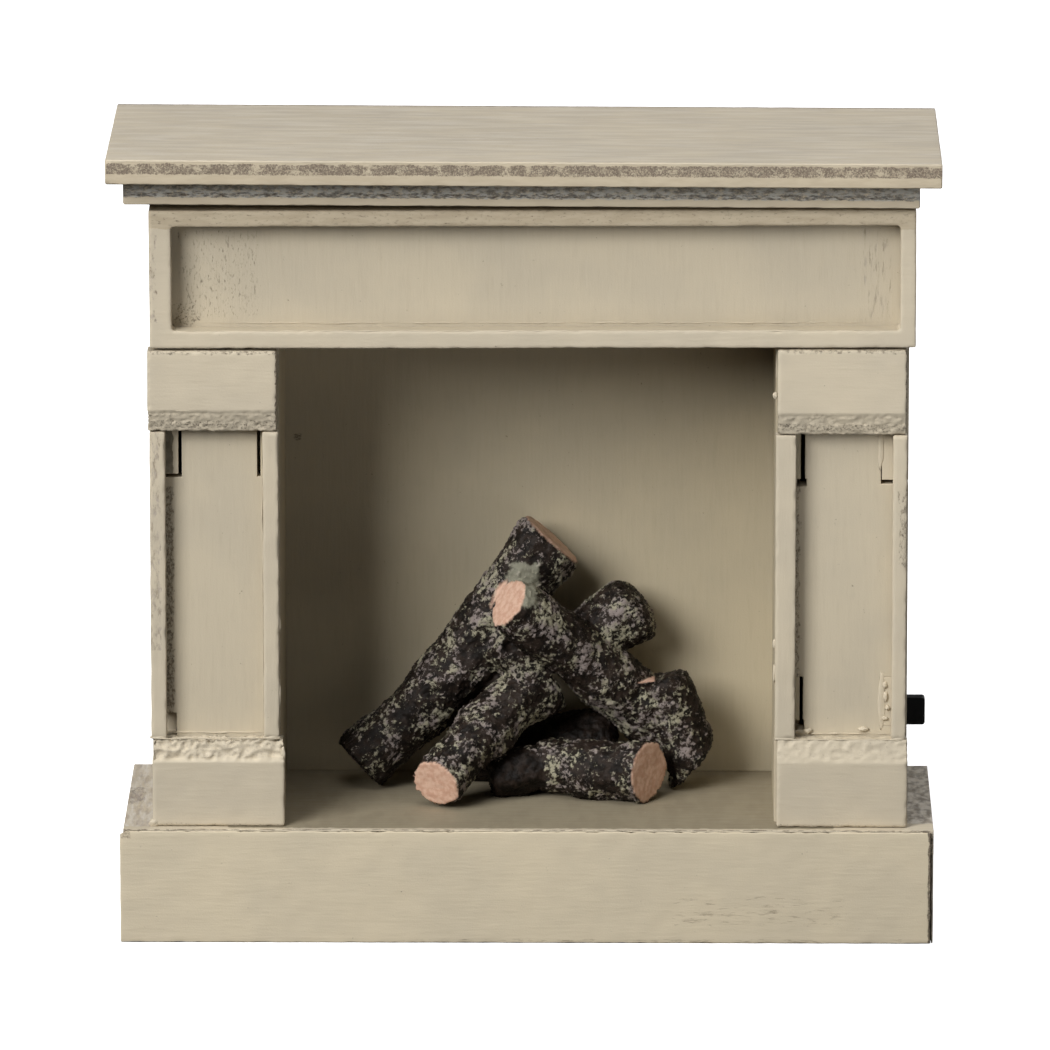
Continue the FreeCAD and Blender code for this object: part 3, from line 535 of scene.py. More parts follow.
def frieze_frame():
    """The four frieze strips under one coat of paint, which fills their joints."""
    shape = bmesh.new()
    shape.from_mesh(cast("frieze_skin", welded(*FRIEZE_NODES), FRIEZE_VOXEL, 1))
    age(shape, 0.12, 0.12)
    bottom, top_rail = low("frieze_bottom_rail", Z), low("frieze_top_rail", Z)
    material = painted("paint_frieze", ALONG_X, [
        wear_and_shade({X: (-58.8, -57), Z: (99, 114)}, 0.20, BARE_LILAC, BARE_BROWN_AND_SHADE,
             soft=0.8, grain=0.5, stretch=(1, 1, 2)),
        wear_and_shade({Z: (bottom - PAST, bottom + 0.5)}, 0.30, BARE_BROWN_AND_SHADE, PAINT_DARK, soft=0.5, grain=0.4),
        # Painted shade with a little dirt: the top rail is dulled all over, for the shadow of the shelf
        # and bed above it.
        wear_and_shade({Z: (top_rail - 0.2, BED_BOTTOM + PAST)}, 2.0, GRIME_AND_SHADE, GRIME_AND_SHADE_DEEP,
             soft=0.8, grain=0.6, stretch=(5, 1, 1), strength=0.8),
        wear_and_shade({Z: (top_rail, BED_BOTTOM + PAST)}, 0.06, BARE_BROWN_AND_SHADE, BARE_DARK_AND_SHADE,
             soft=0.8, grain=0.4, stretch=(2, 1, 1)),
    ])
    piece = put("frieze_frame", shape, material)
    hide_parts(*FRIEZE_NODES)


PANEL_AREAS = [
    wear_and_shade({X: (-56.5, -50), Z: (97, 103)}, 0.24, BARE_DARK_AND_SHADE, SPECK_AND_SHADE, soft=3.0, grain=0.4, ragged=1.2),
    wear_and_shade({X: (-55.5, -40), Z: (98, 115)}, 0.10, BARE_BROWN_AND_SHADE, SPECK_AND_SHADE,
         soft=4.0, grain=0.35, stretch=(1, 1, 3)),
    wear_and_shade({X: (51, 59), Z: (97, 116)}, 0.20, BARE_BROWN_AND_SHADE, BARE_LILAC,
         soft=5.0, grain=0.4, stretch=(1, 1, 7), ragged=1.0, strength=0.6),
    # These two: dark specks and painted shade, in the strips of recess that lie in the shadows of the left
    # outer stile and the right inner stile.
    wear_and_shade({X: (-57, -54.6), Z: (33, 73)}, 0.55, BARE_DARK_AND_SHADE, SPECK_AND_SHADE,
         soft=1.6, grain=0.35, stretch=(1, 1, 1.6), ragged=0.9, strength=0.75),
    wear_and_shade({X: (42, 43.6), Z: (33, 80)}, 0.45, BARE_DARK_AND_SHADE, BARE_BROWN_AND_SHADE,
         soft=0.9, grain=0.4, stretch=(1, 1, 2), ragged=0.7, strength=0.8),
    wear_and_shade({X: (56.3, 57.3), Z: (34, 42)}, 0.35, BARE_DARK_AND_SHADE, BARE_BROWN_AND_SHADE, soft=0.6, grain=0.35),
    wear_and_shade({X: (-38.9, -38), Z: (18, 96)}, 0.35, BARE_DARK_AND_SHADE, BARE_BROWN_AND_SHADE,
         soft=0.5, grain=0.6, stretch=(1, 1, 3), strength=0.6),
]
BACK_SCUFF = {X: (-37.5, -35.5), Z: (72.4, 74.0)}
# Painted shade: where the left finger joint's tongue shows beside the outer stile, in its shadow.
LEFT_FINGER_SHADE = {X: (-60, -55.1), Y: (PANEL_FRONT - PAST, PANEL_FRONT + PAST), Z: (74.5, 82)}


def case_boards():
    """Materials of the boards that keep their CAD mesh, where openings and finger joints are cut."""
    front = painted("paint_panel", ALONG_Z, PANEL_AREAS, PANEL_TINT)
    # The back and the cheeks get painted shade from their tint, for the shade inside the firebox.
    back = painted("paint_back", ALONG_Z, [
        wear_and_shade(BACK_SCUFF, 0.6, BARE_DARK_AND_SHADE, SPECK_AND_SHADE, soft=1.0, grain=0.5, stretch=(2.5, 1, 1)),
    ], CAVITY_SHADE_TINT)
    side = painted("paint_sides", ALONG_Z, (), CAVITY_SHADE_TINT)
    outer = painted("paint_outer", ALONG_Z, [
        wear_and_shade(LEFT_FINGER_SHADE, 2.0, FINGER_SHADE, FINGER_SHADE_DEEP, soft=0.4, grain=0.6, strength=0.8),
    ])
    hearth = hearth_material()
    return {
        "front_board": front, "back_board": back, "left_outer_wall": outer, "left_cheek": side,
        "right_cheek": side, "right_outer_wall": outer, "hearth_plate": hearth}


def hearth_material():
    left, right = low("hearth_plate", X), high("hearth_plate", X)
    wall_left, wall_right = low("left_outer_wall", X), high("right_outer_wall", X)
    opening_left, opening_right = high("left_plinth", X), low("right_plinth", X)
    firebox = {
        X: (opening_left - 9, opening_right + 9),
        Y: (BASE_FRONT + 1.6, BACK),
        Z: (HEARTH_TOP - 0.2, HEARTH_TOP + PAST)}
    right_ledge = {X: (wall_right - 0.5, right + PAST), Y: (BASE_FRONT + 5.0, BACK + PAST)}
    left_ledge = {X: (left - PAST, wall_left + 0.5), Y: (BASE_FRONT + 2, BACK + PAST)}
    left_corner = {X: (left - PAST, left + 3.6), Y: (-4, 9)}
    front_edge = {Y: (BASE_FRONT - PAST, BASE_FRONT + 0.65)}
    return painted("paint_hearth", ALONG_X, [
        # Painted shade: the hearth inside the firebox is covered in darker tones, for the shade that falls
        # there.
        wear_and_shade(firebox, 3.0, HEARTH_SHADE, HEARTH_SHADE_DEEP, soft=0.8, grain=1.5, stretch=(1, 3, 1), blend=0.2),
        wear_and_shade(right_ledge, 0.95, BOARD_GREY, BOARD_DEEP,
             soft=0.6, grain=0.9, stretch=(1, 2, 1), blend=0.2, strength=0.9),
        wear_and_shade(left_ledge, 0.60, STREAK_PALE, BARE_LILAC,
             soft=0.9, grain=0.7, stretch=(1, 5, 1), blend=0.2, strength=0.8),
        wear_and_shade(left_corner, 0.50, BOARD_DEEP, BARE_LILAC, soft=3.0, grain=0.6, stretch=(1, 3, 1)),
        wear_and_shade(front_edge, 0.65, BARE_DARK_AND_SHADE, BARE_BROWN_AND_SHADE, soft=0.25, grain=0.35, stretch=(5, 1, 1)),
    ])


def base_boards():
    left, right = low("base_front", X), high("base_front", X)
    # Painted light: this paint is tinted lighter than the rest, for the light on the base front.
    front = painted("paint_base_front", ALONG_X, [
        wear_and_shade({X: (22, 52), Z: (1.5, 9)}, 0.15, BARE_BROWN_AND_SHADE, PAINT_DARK,
             soft=4.0, grain=0.5, stretch=(5, 1, 1), ragged=1.5, strength=0.6),
        wear_and_shade({X: (-20, 60), Z: (-PAST, 1.0)}, 0.24, BARE_BROWN_AND_SHADE, PAINT_DARK,
             soft=1.0, grain=0.5, stretch=(4, 1, 1), strength=0.6),
        # Bare board and painted shade: the right edge is dark, for the unpainted end board there in
        # shadow.
        wear_and_shade({X: (right - 0.55, right + PAST)}, 0.85, BARE_DARK_AND_SHADE, SPECK_AND_SHADE, soft=0.3, grain=0.5),
        wear_and_shade({X: (left - PAST, left + 2), Z: (16.5, 19)}, 0.4, BARE_BROWN_AND_SHADE, BARE_DARK_AND_SHADE),
    ], BASE_LIGHT_TINT)
    rest = painted("paint_base_rest", ALONG_Y, [
        wear_and_shade({Z: (-PAST, 1.4)}, 0.28, BARE_BROWN_AND_SHADE, BARE_DARK_AND_SHADE, soft=1.2, grain=0.5),
    ])
    board("base_front", front, cell=0.7, edge=0.30, wobble=0.10, chips=0.22)
    for node in ("base_left_end", "base_right_end", "base_back"):
        board(node, rest, cell=1.5, edge=0.2, wobble=0.06, chips=0.14)


# ---- paint that ran or gathered ------------------------------------------------------------------


def bead(shape, centre, size, seed):
    """A small lump of dried paint."""
    made = bmesh.ops.create_icosphere(shape, subdivisions=3, radius=1.0)
    for vert in made["verts"]:
        swell = 1.0 + 0.35 * noise.noise(vert.co * 1.7 + Vector((seed, seed, 0)))
        vert.co = Vector(vert.co[i] * size[i] * swell + centre[i] for i in range(3)) * MM


RIDGE_SIDES = 10
RIDGE_STEP = 0.5
RIDGE_SWAY = 0.12


def tube(shape, rings):
    """Joins rings of vertices, all with as many sides, into a closed tube."""
    sides = len(rings[0])
    for a, b in zip(rings, rings[1:]):
        for k in range(sides):
            shape.faces.new((a[k], a[(k + 1) % sides], b[(k + 1) % sides], b[k]))
    shape.faces.new(rings[0][::-1])
    shape.faces.new(rings[-1])


def ridge(shape, start, end, radius, seed):
    """An uneven line of gathered paint from one point to another, almost gone in places."""
    first, last = Vector(start), Vector(end)
    run = last - first
    steps = max(8, int(run.length / RIDGE_STEP))
    across = run.orthogonal().normalized()
    other = run.cross(across).normalized()
    rings = []
    for i in range(steps + 1):
        t = i / steps
        lump = 0.55 + 0.75 * noise.noise(Vector((i * 0.33, seed, 0)))
        wide = radius * max(0.12, lump) * min(1.0, 6 * t + 0.1, 6 * (1 - t) + 0.1)
        middle = first.lerp(last, t)
        middle = middle + across * RIDGE_SWAY * noise.noise(Vector((i * 0.12, seed, 5)))
        ring = []
        for k in range(RIDGE_SIDES):
            angle = 2 * math.pi * k / RIDGE_SIDES
            point = middle + (across * math.cos(angle) + other * math.sin(angle)) * wide
            ring.append(shape.verts.new(point * MM))
        rings.append(ring)
    tube(shape, rings)


STILE_FRONT = low("left_inner_stile", Y)
BEADS = [
    ((39.3, TRIM_FRONT + 0.7, 87.9), (0.40, 0.35, 0.55)),
    ((39.35, STILE_FRONT + 0.5, 47.8), (0.30, 0.25, 0.8)),
    ((39.35, STILE_FRONT + 0.5, 43.0), (0.25, 0.25, 1.5)),
    ((44.7, PANEL_FRONT - 0.3, 33.2), (0.6, 0.45, 0.45)),
    ((53.4, PANEL_FRONT - 0.2, 33.5), (0.8, 0.35, 0.35)),
    ((-37.9, TRIM_FRONT + 0.7, 30.0), (0.40, 0.35, 1.2)),
    ((-58.3, TRIM_FRONT + 0.4, 18.9), (0.8, 0.5, 0.7)),
    ((-38.45, STILE_FRONT + 0.6, 50.8), (0.28, 0.3, 1.3)),
    ((-38.45, STILE_FRONT + 0.5, 39.5), (0.22, 0.3, 2.2)),
    ((55.9, PANEL_FRONT, 78.6), (0.40, 0.14, 3.4)),
    ((56.25, PANEL_FRONT, 38.0), (0.55, 0.14, 4.6)),
    ((56.8, PANEL_FRONT, 40.6), (0.35, 0.40, 0.6)),
    ((56.9, PANEL_FRONT, 38.7), (0.45, 0.40, 0.8)),
    ((57.2, PANEL_FRONT, 36.9), (0.35, 0.45, 0.5)),
    ((56.8, PANEL_FRONT, 35.2), (0.55, 0.35, 0.4)),
]
BLOCK_JOINT = TRIM_FRONT + 1.1
PANEL_SKIN = PANEL_FRONT - 0.05
RECESS_BOTTOM = 32.7
RIDGES = [
    ((-62.5, BASE_FRONT + 0.25, BASE_TOP + 0.02), (63.0, BASE_FRONT + 0.25, BASE_TOP + 0.02), 0.16),
    ((-55.0, TRIM_FRONT + 0.25, 98.05), (58.5, TRIM_FRONT + 0.25, 98.4), 0.14),
    ((-58.3, BLOCK_JOINT, 32.4), (-37.9, BLOCK_JOINT, 32.4), 0.17),
    ((40.0, BLOCK_JOINT, 32.4), (60.2, BLOCK_JOINT, 32.4), 0.12),
    ((-58.7, TRIM_FRONT + 0.15, 85.4), (-38.9, TRIM_FRONT + 0.15, 85.4), 0.12),
    ((-54.6, PANEL_SKIN, 98.6), (58.4, PANEL_SKIN, 98.9), 0.14),
    ((39.9, TRIM_FRONT + 0.2, 19.0), (39.9, TRIM_FRONT + 0.2, 29.0), 0.13),
    ((-56.0, PANEL_SKIN, RECESS_BOTTOM), (-41.1, PANEL_SKIN, RECESS_BOTTOM), 0.2),
    ((42.8, PANEL_SKIN, RECESS_BOTTOM), (57.6, PANEL_SKIN, RECESS_BOTTOM), 0.2),
    ((-41.1, PANEL_SKIN, 33.0), (-41.1, PANEL_SKIN, 81.0), 0.14),
]


def foot_bead(node):
    """Place and size of the paint gathered at a stile's foot."""
    middle = (low(node, X) + high(node, X)) / 2
    half = (high(node, X) - low(node, X)) / 2
    return (middle, low(node, Y) + 0.3, low(node, Z)), (half, 0.28, 0.4)


def gathered_paint():
    shape = bmesh.new()
    for i, (centre, size) in enumerate([*BEADS, *map(foot_bead, STILES)]):
        bead(shape, centre, size, i * 3.1)
    for i, (start, end, radius) in enumerate(RIDGES):
        ridge(shape, start, end, radius, i * 5.7)
    put("gathered_paint", shape, painted("paint_gathered", ALONG_X))


# ---- the log pile --------------------------------------------------------------------------------


def log(start, end, r0, r1, cuts=(), bend=(0, 0, 0), sawn=(False, False), dome=0.0):
    """One log: its axis, radii, which way its saw cuts face, mid-length bow, and which ends show wood.

    A log without saw cuts has rounded ends, dome mm long.
    """
    return {
        "start": Vector(start), "end": Vector(end), "r0": r0, "r1": r1,
        "cuts": [Vector(cut).normalized() for cut in cuts],
        "bend": Vector(bend), "sawn": sawn, "dome": dome}


LOGS = {
    "log_back_left": log(
        (-26.7, 9.0, 22.2), (4.1, 12.0, 58.5), 5.0, 6.0, bend=(1.6, 0, -1.5),
        cuts=((-0.72, -0.22, -0.66), (0.667, 0.064, 0.742)), sawn=(False, True)),
    "log_right_diagonal": log(
        (-2.7, 2.0, 50.2), (21.5, 12.0, 27.6), 4.7, 5.4, bend=(0.4, 0, 0.5),
        cuts=((-0.76, -0.36, 0.54), (0.70, 0.35, -0.62)), sawn=(True, False)),
    "log_front_centre": log(
        (-14.2, -6.2, 22.4), (3.2, 8.6, 35.4), 4.2, 5.0, bend=(-0.7, 0, 0.9),
        cuts=((-0.50, -0.80, -0.33), (0.66, 0.56, 0.50)), sawn=(True, False)),
    "log_front_lying": log(
        (2.2, 5.2, 22.95), (19.8, -1.2, 23.45), 4.45, 5.05, bend=(0, 0, -0.3),
        cuts=((-0.94, 0.34, 0), (0.82, -0.57, 0.02)), sawn=(False, True)),
    "log_back_stub": log(
        (8.9, 11.5, 41.0), (18.9, 12.3, 48.2), 4.9, 6.2, bend=(0, 0, 0.3), dome=3.0),
    "log_right_stump": log(
        (26.7, 9.0, 22.0), (21.0, 8.2, 36.6), 4.7, 4.6, bend=(0.6, 0, 0.4),
        cuts=((0.75, 0.05, -0.66), (-0.22, 0.12, 0.97)), sawn=(False, True)),
}
# Webs of resin join the logs where they cross.
WEBS = [
    log((-4.6, 7.0, 43.5), (2.6, 8.0, 36.5), 4.0, 4.4, dome=3.0),
    log((12.5, 8.5, 35.5), (21.0, 9.0, 31.5), 3.6, 4.2, dome=2.0),
]
# Cores are dark masses put in the shade behind and under the logs, as painted shade: they get no pale
# dabs, so that they read black.
SHADE_CORES = [
    log((-12.0, 13.4, 23.0), (15.0, 14.6, 23.6), 4.8, 6.1, dome=3.0),
    log((-5.5, 2.2, 21.5), (3.0, 4.2, 22.6), 3.2, 3.8, dome=2.0),
    log((-10.5, 12.5, 30.5), (-2.0, 10.5, 37.0), 3.3, 4.0, dome=2.0),
]
CORE_BLEND = 0.7
STUMP_WOOD_RIGHT = 20.6
# A dent between two logs, which also gets painted shade.
HOLLOW = Vector((-2.3, 3.2, 43.0))
HOLLOW_RADIUS = 1.5
LOG_SIDES = 56
LOG_STEP = 0.5
LOG_SPARE = 5.0
LOG_VOXEL = 0.36
LOG_RIM = 1.1
RIM_LOSS = 0.45
BARK_DEPTH = 0.34
BARK_CELL = 0.85
KNOT_DEPTH = 0.75
FURROW_DEPTH = 0.30
CORE_SHADE = 3.0
HOLLOW_DEPTH = 1.8
BARK_BUMP = 0.13
# Painted shade: low on the left, where the pilaster's shadow falls, the bark gets fewer pale dabs.
LOW_LEFT_SHADE = {X: (-40, -17), Z: (10, 36)}
WASH_AREA = {X: (-2.5, 2.2), Z: (50, 55.5)}


def log_radius(facts, s, length):
    """Radius s mm along the log, with its worn rims or its rounded ends."""
    radius = facts["r0"] + (facts["r1"] - facts["r0"]) * s / length
    if facts["dome"]:
        inward = max(0.0, 1.0 - min(length - s, s + 0.5 * facts["dome"]) / facts["dome"])
        return radius * math.sqrt(max(0.02, 1.0 - 0.85 * inward ** 2))
    worn_away = max(0.0, 1.0 - min(abs(s), abs(length - s)) / LOG_RIM)
    return radius - RIM_LOSS * worn_away ** 2


def log_tube(facts, seed):
    """A knobbly, bowed, tapered log along the axis, sawn off at both ends or rounded."""
    shape = bmesh.new()
    first, last = facts["start"], facts["end"]
    along = (last - first).normalized()
    across = along.orthogonal().normalized()
    other = along.cross(across)
    length = (last - first).length
    spare = 0.0 if facts["dome"] else LOG_SPARE
    count = int((length + 2 * spare) / LOG_STEP)
    rings = []
    for i in range(count + 1):
        s = -spare + (length + 2 * spare) * i / count
        radius = log_radius(facts, s, length)
        bow = facts["bend"] * math.sin(math.pi * max(0.0, min(1.0, s / length)))
        ring = []
        for k in range(LOG_SIDES):
            angle = 2 * math.pi * k / LOG_SIDES
            out = across * math.cos(angle) + other * math.sin(angle)
            point = first + along * s + bow + out * radius
            swell = KNOT_DEPTH * noise.noise(point * 0.15 + Vector((seed, 0, 0)))
            furrow = FURROW_DEPTH * noise.noise(Vector((angle * 2.6, s * 0.11, seed)))
            ring.append(shape.verts.new((point + out * (swell + furrow - 0.15)) * MM))
        rings.append(ring)
    tube(shape, rings)
    for point, normal in zip((first, last), facts["cuts"]):
        saw(shape, point, normal)
    bmesh.ops.recalc_face_normals(shape, faces=shape.faces)
    return shape


def saw(shape, point, normal):
    """Cuts away what lies beyond the plane, and closes the cut."""
    sliced = bmesh.ops.bisect_plane(
        shape, geom=shape.verts[:] + shape.edges[:] + shape.faces[:], plane_co=point * MM,
        plane_no=normal, clear_outer=True)
    rim = [e for e in sliced["geom_cut"] if isinstance(e, bmesh.types.BMEdge)]
    bmesh.ops.holes_fill(shape, edges=rim, sides=0)


def cut_share(point, normal):
    """1 on a sawn face, falling to 0 at its rim. Point in mm."""
    best = 0.0
    for node, facts in LOGS.items():
        ends = ((facts["start"], facts["r0"]), (facts["end"], facts["r1"]))
        axis = (facts["end"] - facts["start"]).normalized()
        for (centre, radius), facing, shown in zip(ends, facts["cuts"], facts["sawn"]):
            away = point - centre
            aside = (away - axis * away.dot(axis)).length
            if not shown or aside > radius * 1.15 or abs(away.dot(facing)) > 0.3:
                continue
            if node == "log_right_stump" and point.x > STUMP_WOOD_RIGHT:
                continue
            best = max(best, min(1.0, (normal.dot(facing) - 0.72) / 0.16))
    return max(0.0, best)


def nearest(point, tubes):
    """Distance from the surface of the nearest of these tubes, and that tube's direction."""
    best, direction = 1e9, None
    for facts in tubes:
        first, run = facts["start"], facts["end"] - facts["start"]
        t = max(0.0, min(1.0, (point - first).dot(run) / run.length_squared))
        gap = (point - first - run * t).length - facts["r0"] - (facts["r1"] - facts["r0"]) * t
        if gap < best:
            best, direction = gap, run.normalized()
    return best, direction


def shade_core_share(point):
    """1 where the surface belongs to a hidden core, which is painted shade: it gets no dry brush, so that
    it reads black.
    """
    logs = nearest(point, [*LOGS.values(), *WEBS])[0]
    cores = nearest(point, SHADE_CORES)[0]
    return max(0.0, min(1.0, (logs - cores) / CORE_BLEND + 0.5))


def bark_relief(point):
    """0 in a crack of the bark to 1 on a plate of it, with plates longer along their log."""
    axis = nearest(point, LOGS.values())[1]
    place = point - axis * (0.38 * point.dot(axis))
    place = place + noise.noise_vector(point * 0.9) * 0.8
    near, second = noise.voronoi(place / BARK_CELL)[0][:2]
    return min(1.0, (second - near) * 2.4)


def bark_material():
    """Resin bark: brown-black, dry-brushed greenish grey and lilac, with salmon sawn faces, and painted
    shade: no dabs on the cores and in the hollow, fewer low on the left.
    """
    look = Look("bark_and_cut", 0.15)
    # The relief attribute also holds painted shade: it is far below zero on the cores and in the hollow.
    relief = look.add("ShaderNodeAttribute", attribute_name="relief").outputs["Fac"]
    cut = look.add("ShaderNodeAttribute", attribute_name="sawn").outputs["Fac"]
    dark = look.mix(look.ramp(look.noise(1.6), 0.4, 0.62), BARK_BLACK, BARK_BROWN)
    patch = look.ramp(look.noise(4.5, detail=4), 0.36, 0.64, -0.08, 0.08)
    grain = look.noise(0.75, detail=7, rough=0.75)
    dab = look.math("ADD", look.math("ADD", grain, patch), look.math("MULTIPLY", relief, 0.13))
    # Painted shade: fewer pale dabs low on the left, where shadow falls on the logs.
    low_left_shade = look.inside(LOW_LEFT_SHADE, 7.0, 1.5)
    dab = look.math("SUBTRACT", dab, look.math("MULTIPLY", low_left_shade, 0.035))
    dab_tone = look.mix(look.ramp(look.noise(2.6, detail=3), 0.42, 0.58), DAB_GREEN, DAB_LILAC)
    colour = look.mix(look.ramp(dab, 0.56, 0.67, 0.0, 0.92), dark, dab_tone)
    bright = look.ramp(look.noise(0.6, detail=6, rough=0.75), 0.60, 0.72, 0.0, 0.55)
    colour = look.mix(look.math("MULTIPLY", bright, relief), colour, DAB_BRIGHT)
    wash = look.inside(WASH_AREA, 1.0, 2.2)
    colour = look.mix(look.math("MULTIPLY", wash, 0.55), colour, WASH_GREEN)
    rings = look.noise(0.8, detail=5)
    salmon = look.mix(look.ramp(rings, 0.36, 0.64), SAWN_PALE, SAWN_ROSE)
    colour = look.mix(cut, colour, salmon)
    dull = look.ramp(dab, 0.45, 0.7, 0.46, 0.66)
    rough = look.math("SUBTRACT", dull, look.math("MULTIPLY", cut, 0.12))
    fine = look.math("ADD", look.noise(0.35, detail=6), look.math("MULTIPLY", grain, 0.8))
    height = look.math("MULTIPLY", fine, look.math("SUBTRACT", 1.0, look.math("MULTIPLY", cut, 0.7)))
    return look.done(colour, rough, height, BARK_BUMP)


def rough_logs():
    """All the logs, webs and cores as one mesh of overlapping tubes."""
    pile = bmesh.new()
    for i, facts in enumerate([*LOGS.values(), *WEBS, *SHADE_CORES]):
        made = log_tube(facts, i * 11.0)
        mesh = bpy.data.meshes.new("rough_log")
        made.to_mesh(mesh)
        made.free()
        pile.from_mesh(mesh)
        bpy.data.meshes.remove(mesh)
    return pile


def roughen(skin):
    """Carves bark, saw marks and a hollow into the skin, and notes on each vertex which of them it
    carries, with painted shade on the cores and in the hollow.
    """
    normals = [vert.normal.copy() for vert in skin.vertices]
    shares, relief_and_shade = [], []
    for vert, n in zip(skin.vertices, normals):
        p = vert.co / MM
        share = cut_share(p, n)
        relief = bark_relief(p)
        lump = 0.30 * noise.noise(p * 0.45)
        bark = BARK_DEPTH * (relief - 0.75) + lump + 0.09 * noise.noise(p * 2.3)
        flat = 0.10 * noise.noise(p * 0.9) + 0.06 * abs(noise.noise(p * 1.9))
        depth = bark * (1 - share) + flat * share
        hollow = max(0.0, 1.0 - (p - HOLLOW).length / HOLLOW_RADIUS)
        vert.co += n * (depth - HOLLOW_DEPTH * hollow) * MM
        vert.co.z = max(vert.co.z, (HEARTH_TOP + 0.02) * MM)
        # Painted shade: the cores and the hollow get a relief far below a crack's, so no pale dabs land
        # there.
        hidden = max(shade_core_share(p), min(1.0, 2.5 * hollow))
        shares.append(share)
        relief_and_shade.append(relief * (1.0 - hidden) - CORE_SHADE * hidden)
    skin.attributes.new("sawn", "FLOAT", "POINT").data.foreach_set("value", shares)
    skin.attributes.new("relief", "FLOAT", "POINT").data.foreach_set("value", relief_and_shade)


def log_pile():
    """The six logs as the one casting that they are: webbed over and painted where they cross."""
    skin = cast("log_pile", rough_logs(), LOG_VOXEL, 2)
    piece = add_object("log_pile", skin)
    roughen(skin)
    for polygon in skin.polygons:
        polygon.use_smooth = True
    piece.data.materials.append(bark_material())
    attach(piece, "case")
    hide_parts(*LOGS)


# ---- works: the CAD nodes that stay, with rounded edges and their own materials ------------------


METAL = {"depth": 0.01, "metallic": 1.0}
FINISHES = {
    "bare_board": {"base": tone(150, 122, 92), "other": tone(126, 100, 74), "size": 0.5,
                   "roughness": 0.82, "depth": 0.08, "specular": 0.2},
    "black_plastic": {"base": tone(24, 24, 25), "other": tone(34, 34, 36), "size": 0.35,
                      "roughness": 0.48, "depth": 0.02},
    "knob_plastic": {"base": tone(4, 4, 4), "other": tone(9, 9, 9), "size": 0.3,
                     "roughness": 0.42, "depth": 0.03, "specular": 0.15},
    "screw_steel": {"base": tone(176, 176, 178), "other": tone(140, 140, 144), "size": 0.4,
                    "roughness": 0.34, **METAL},
    "contact_steel": {"base": tone(196, 194, 188), "other": tone(160, 158, 152), "size": 0.5,
                      "roughness": 0.30, **METAL},
    "switch_can": {"base": tone(188, 188, 190), "other": tone(160, 160, 164), "size": 0.8,
                   "roughness": 0.36, **METAL},
    "cell_jacket": {"base": tone(58, 96, 70), "other": tone(46, 80, 58), "size": 1.2,
                    "roughness": 0.36, "depth": 0.01},
    "lamp_lens": {"base": tone(226, 150, 60), "other": tone(206, 120, 44), "size": 0.9,
                  "roughness": 0.18, "depth": 0.01},
    "resistor_body": {"base": tone(206, 184, 148), "other": tone(186, 160, 122), "size": 0.6,
                      "roughness": 0.4, "depth": 0.01},
    "wire_red": {"base": tone(170, 30, 26), "other": tone(146, 24, 22), "size": 0.6,
                 "roughness": 0.42, "depth": 0.02},
    "wire_black": {"base": tone(24, 24, 24), "other": tone(38, 38, 38), "size": 0.6,
                   "roughness": 0.42, "depth": 0.02},
}
ROUNDING = {"switch_knob": 0.35, "battery_tray": 0.25, "battery_door": 0.2, "base_bottom": 0.2}
BOARD_ROUNDING = 0.12
BEVEL_ANGLE = math.radians(40)


def works(kept):
    """Every CAD node that still shows gets joined corners and a material: its own where kept has one,
    and else its slot's. The boards and the larger plastic parts get rounded edges too."""
    finishes = {"painted_board": painted("paint_other", ALONG_X)}
    for slot, settings in FINISHES.items():
        name = "fibre_board" if slot == "bare_board" else slot
        finishes[slot] = simple(name, **settings)
    rounding = {**ROUNDING, **dict.fromkeys(kept, BOARD_ROUNDING)}
    for node, piece in frame["nodes"].items():
        if piece.hide_render:
            continue
        piece.data.materials.clear()
        piece.data.materials.append(kept.get(node, finishes[SLOTS[node]]))
        weld = piece.modifiers.new("weld", "WELD")
        weld.merge_threshold = WELD * MM
        if node in rounding:
            bevel = piece.modifiers.new("edges", "BEVEL")
            bevel.width = rounding[node] * MM
            bevel.segments = 3
            bevel.limit_method = "ANGLE"
            bevel.angle_limit = BEVEL_ANGLE


# ---- stage ---------------------------------------------------------------------------------------

# Lengths in metres from here on, apart from the lens and its sensor. Angles in degrees.
CAMERA_ELEVATION = 12.835
CAMERA_AZIMUTH = 0.516
CAMERA_DISTANCE = 1.8972
CAMERA_TARGET = Vector((0.0, 0.001, 0.06297))
CAMERA_LENS = 411.1
CAMERA_SENSOR = 36.0


def bearing(azimuth, elevation):
    """Unit vector from the object towards a camera or lamp at these angles."""
    a, e = math.radians(azimuth), math.radians(elevation)
    return Vector((math.sin(a) * math.cos(e), -math.cos(a) * math.cos(e), math.sin(e)))


def aim(thing, back):
    thing.rotation_euler = (-back).to_track_quat("-Z", "Y").to_euler()


def camera():
    back = bearing(CAMERA_AZIMUTH, CAMERA_ELEVATION)
    data = bpy.data.cameras.new("camera")
    data.lens = CAMERA_LENS
    data.sensor_width = CAMERA_SENSOR
    data.clip_end = 10.0
    thing = add_object("camera", data)
    thing.location = CAMERA_TARGET + back * CAMERA_DISTANCE
    aim(thing, back)
    bpy.context.scene.camera = thing


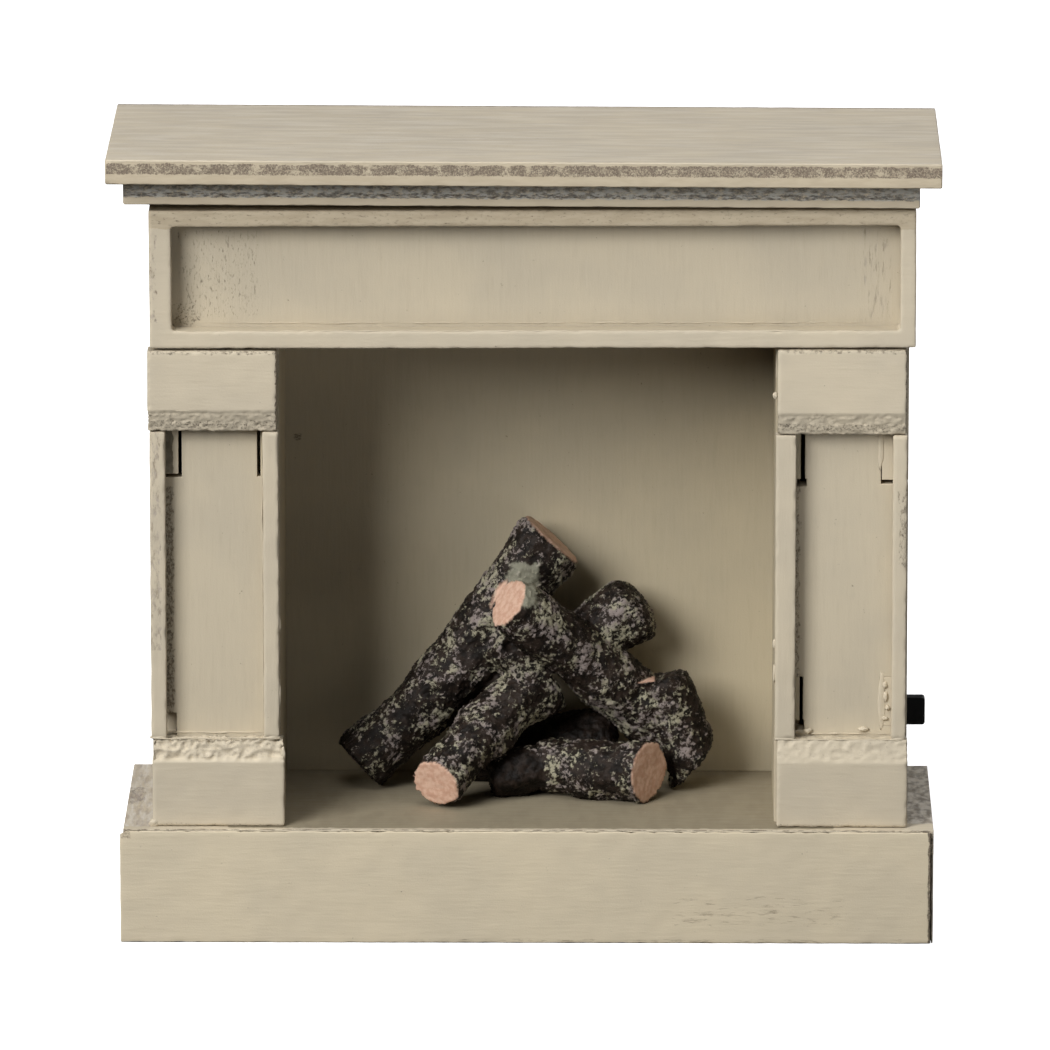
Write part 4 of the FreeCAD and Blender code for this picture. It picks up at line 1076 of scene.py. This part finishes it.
LAMPS = {
    "key": {"azimuth": -38.0, "elevation": 28.0, "distance": 1.3, "size": 0.66, "watts": 18.4},
    "top": {"azimuth": -8.0, "elevation": 70.0, "distance": 1.3, "size": 0.8, "watts": 7.5},
    "rear": {"azimuth": 145.0, "elevation": 26.0, "distance": 1.3, "size": 0.9, "watts": 5.2},
}
BOUNCE_PLACE = (0.27, -0.33, 0.002)
BOUNCE_SIZE = 0.40
BOUNCE_WATTS = 0.95
AMBIENT = 0.03


def area_light(name, size, watts):
    data = bpy.data.lights.new(name, "AREA")
    data.size = size
    data.energy = watts
    return add_object(name, data)


def lamp(name, azimuth, elevation, distance, size, watts):
    thing = area_light(name, size, watts)
    back = bearing(azimuth, elevation)
    thing.location = CAMERA_TARGET + back * distance
    aim(thing, back)


def bounce():
    """A lamp lying in front of the object on the right, facing up: it stands for a pale card there."""
    thing = area_light("bounce", BOUNCE_SIZE, BOUNCE_WATTS)
    thing.location = BOUNCE_PLACE
    thing.rotation_euler = (math.pi, 0, 0)
    thing.visible_camera = False


def lights():
    bounce()
    for name, facts in LAMPS.items():
        lamp(name, **facts)
    world = bpy.data.worlds.new("studio")
    bpy.context.scene.world = world
    world.use_nodes = True
    background = world.node_tree.nodes["Background"]
    background.inputs[0].default_value = (1, 1, 1, 1)
    background.inputs[1].default_value = AMBIENT
    bpy.context.scene.view_settings.view_transform = "Standard"


FLOOR_HALF = 8.0
FLOOR_GLOW = 0.80
FLOOR_GRAIN = 40
FLOOR_GREY = tone(240, 240, 240)
FLOOR_WHITE = tone(246, 246, 246)


def floor():
    """Pale floor. It glows a little, so that it stays pale, and throws no light back on the object."""
    mesh = bpy.data.meshes.new("floor")
    corners = [(-1, -1), (1, -1), (1, 1), (-1, 1)]
    mesh.from_pydata([(x * FLOOR_HALF, y * FLOOR_HALF, 0) for x, y in corners], [], [(0, 1, 2, 3)])
    piece = add_object("floor", mesh)
    look = Look("floor_paper", 0.1)
    colour = look.mix(look.noise(FLOOR_GRAIN), FLOOR_GREY, FLOOR_WHITE)
    mesh.materials.append(look.done(colour, 0.9))
    look.shader.inputs["Emission Color"].default_value = (1, 1, 1, 1)
    look.shader.inputs["Emission Strength"].default_value = FLOOR_GLOW
    piece.visible_diffuse = False
    piece.visible_glossy = False


noise.seed_set(NOISE_SEED)
painted_boards()
base_boards()
gathered_paint()
log_pile()
works(case_boards())
camera()
lights()
floor()
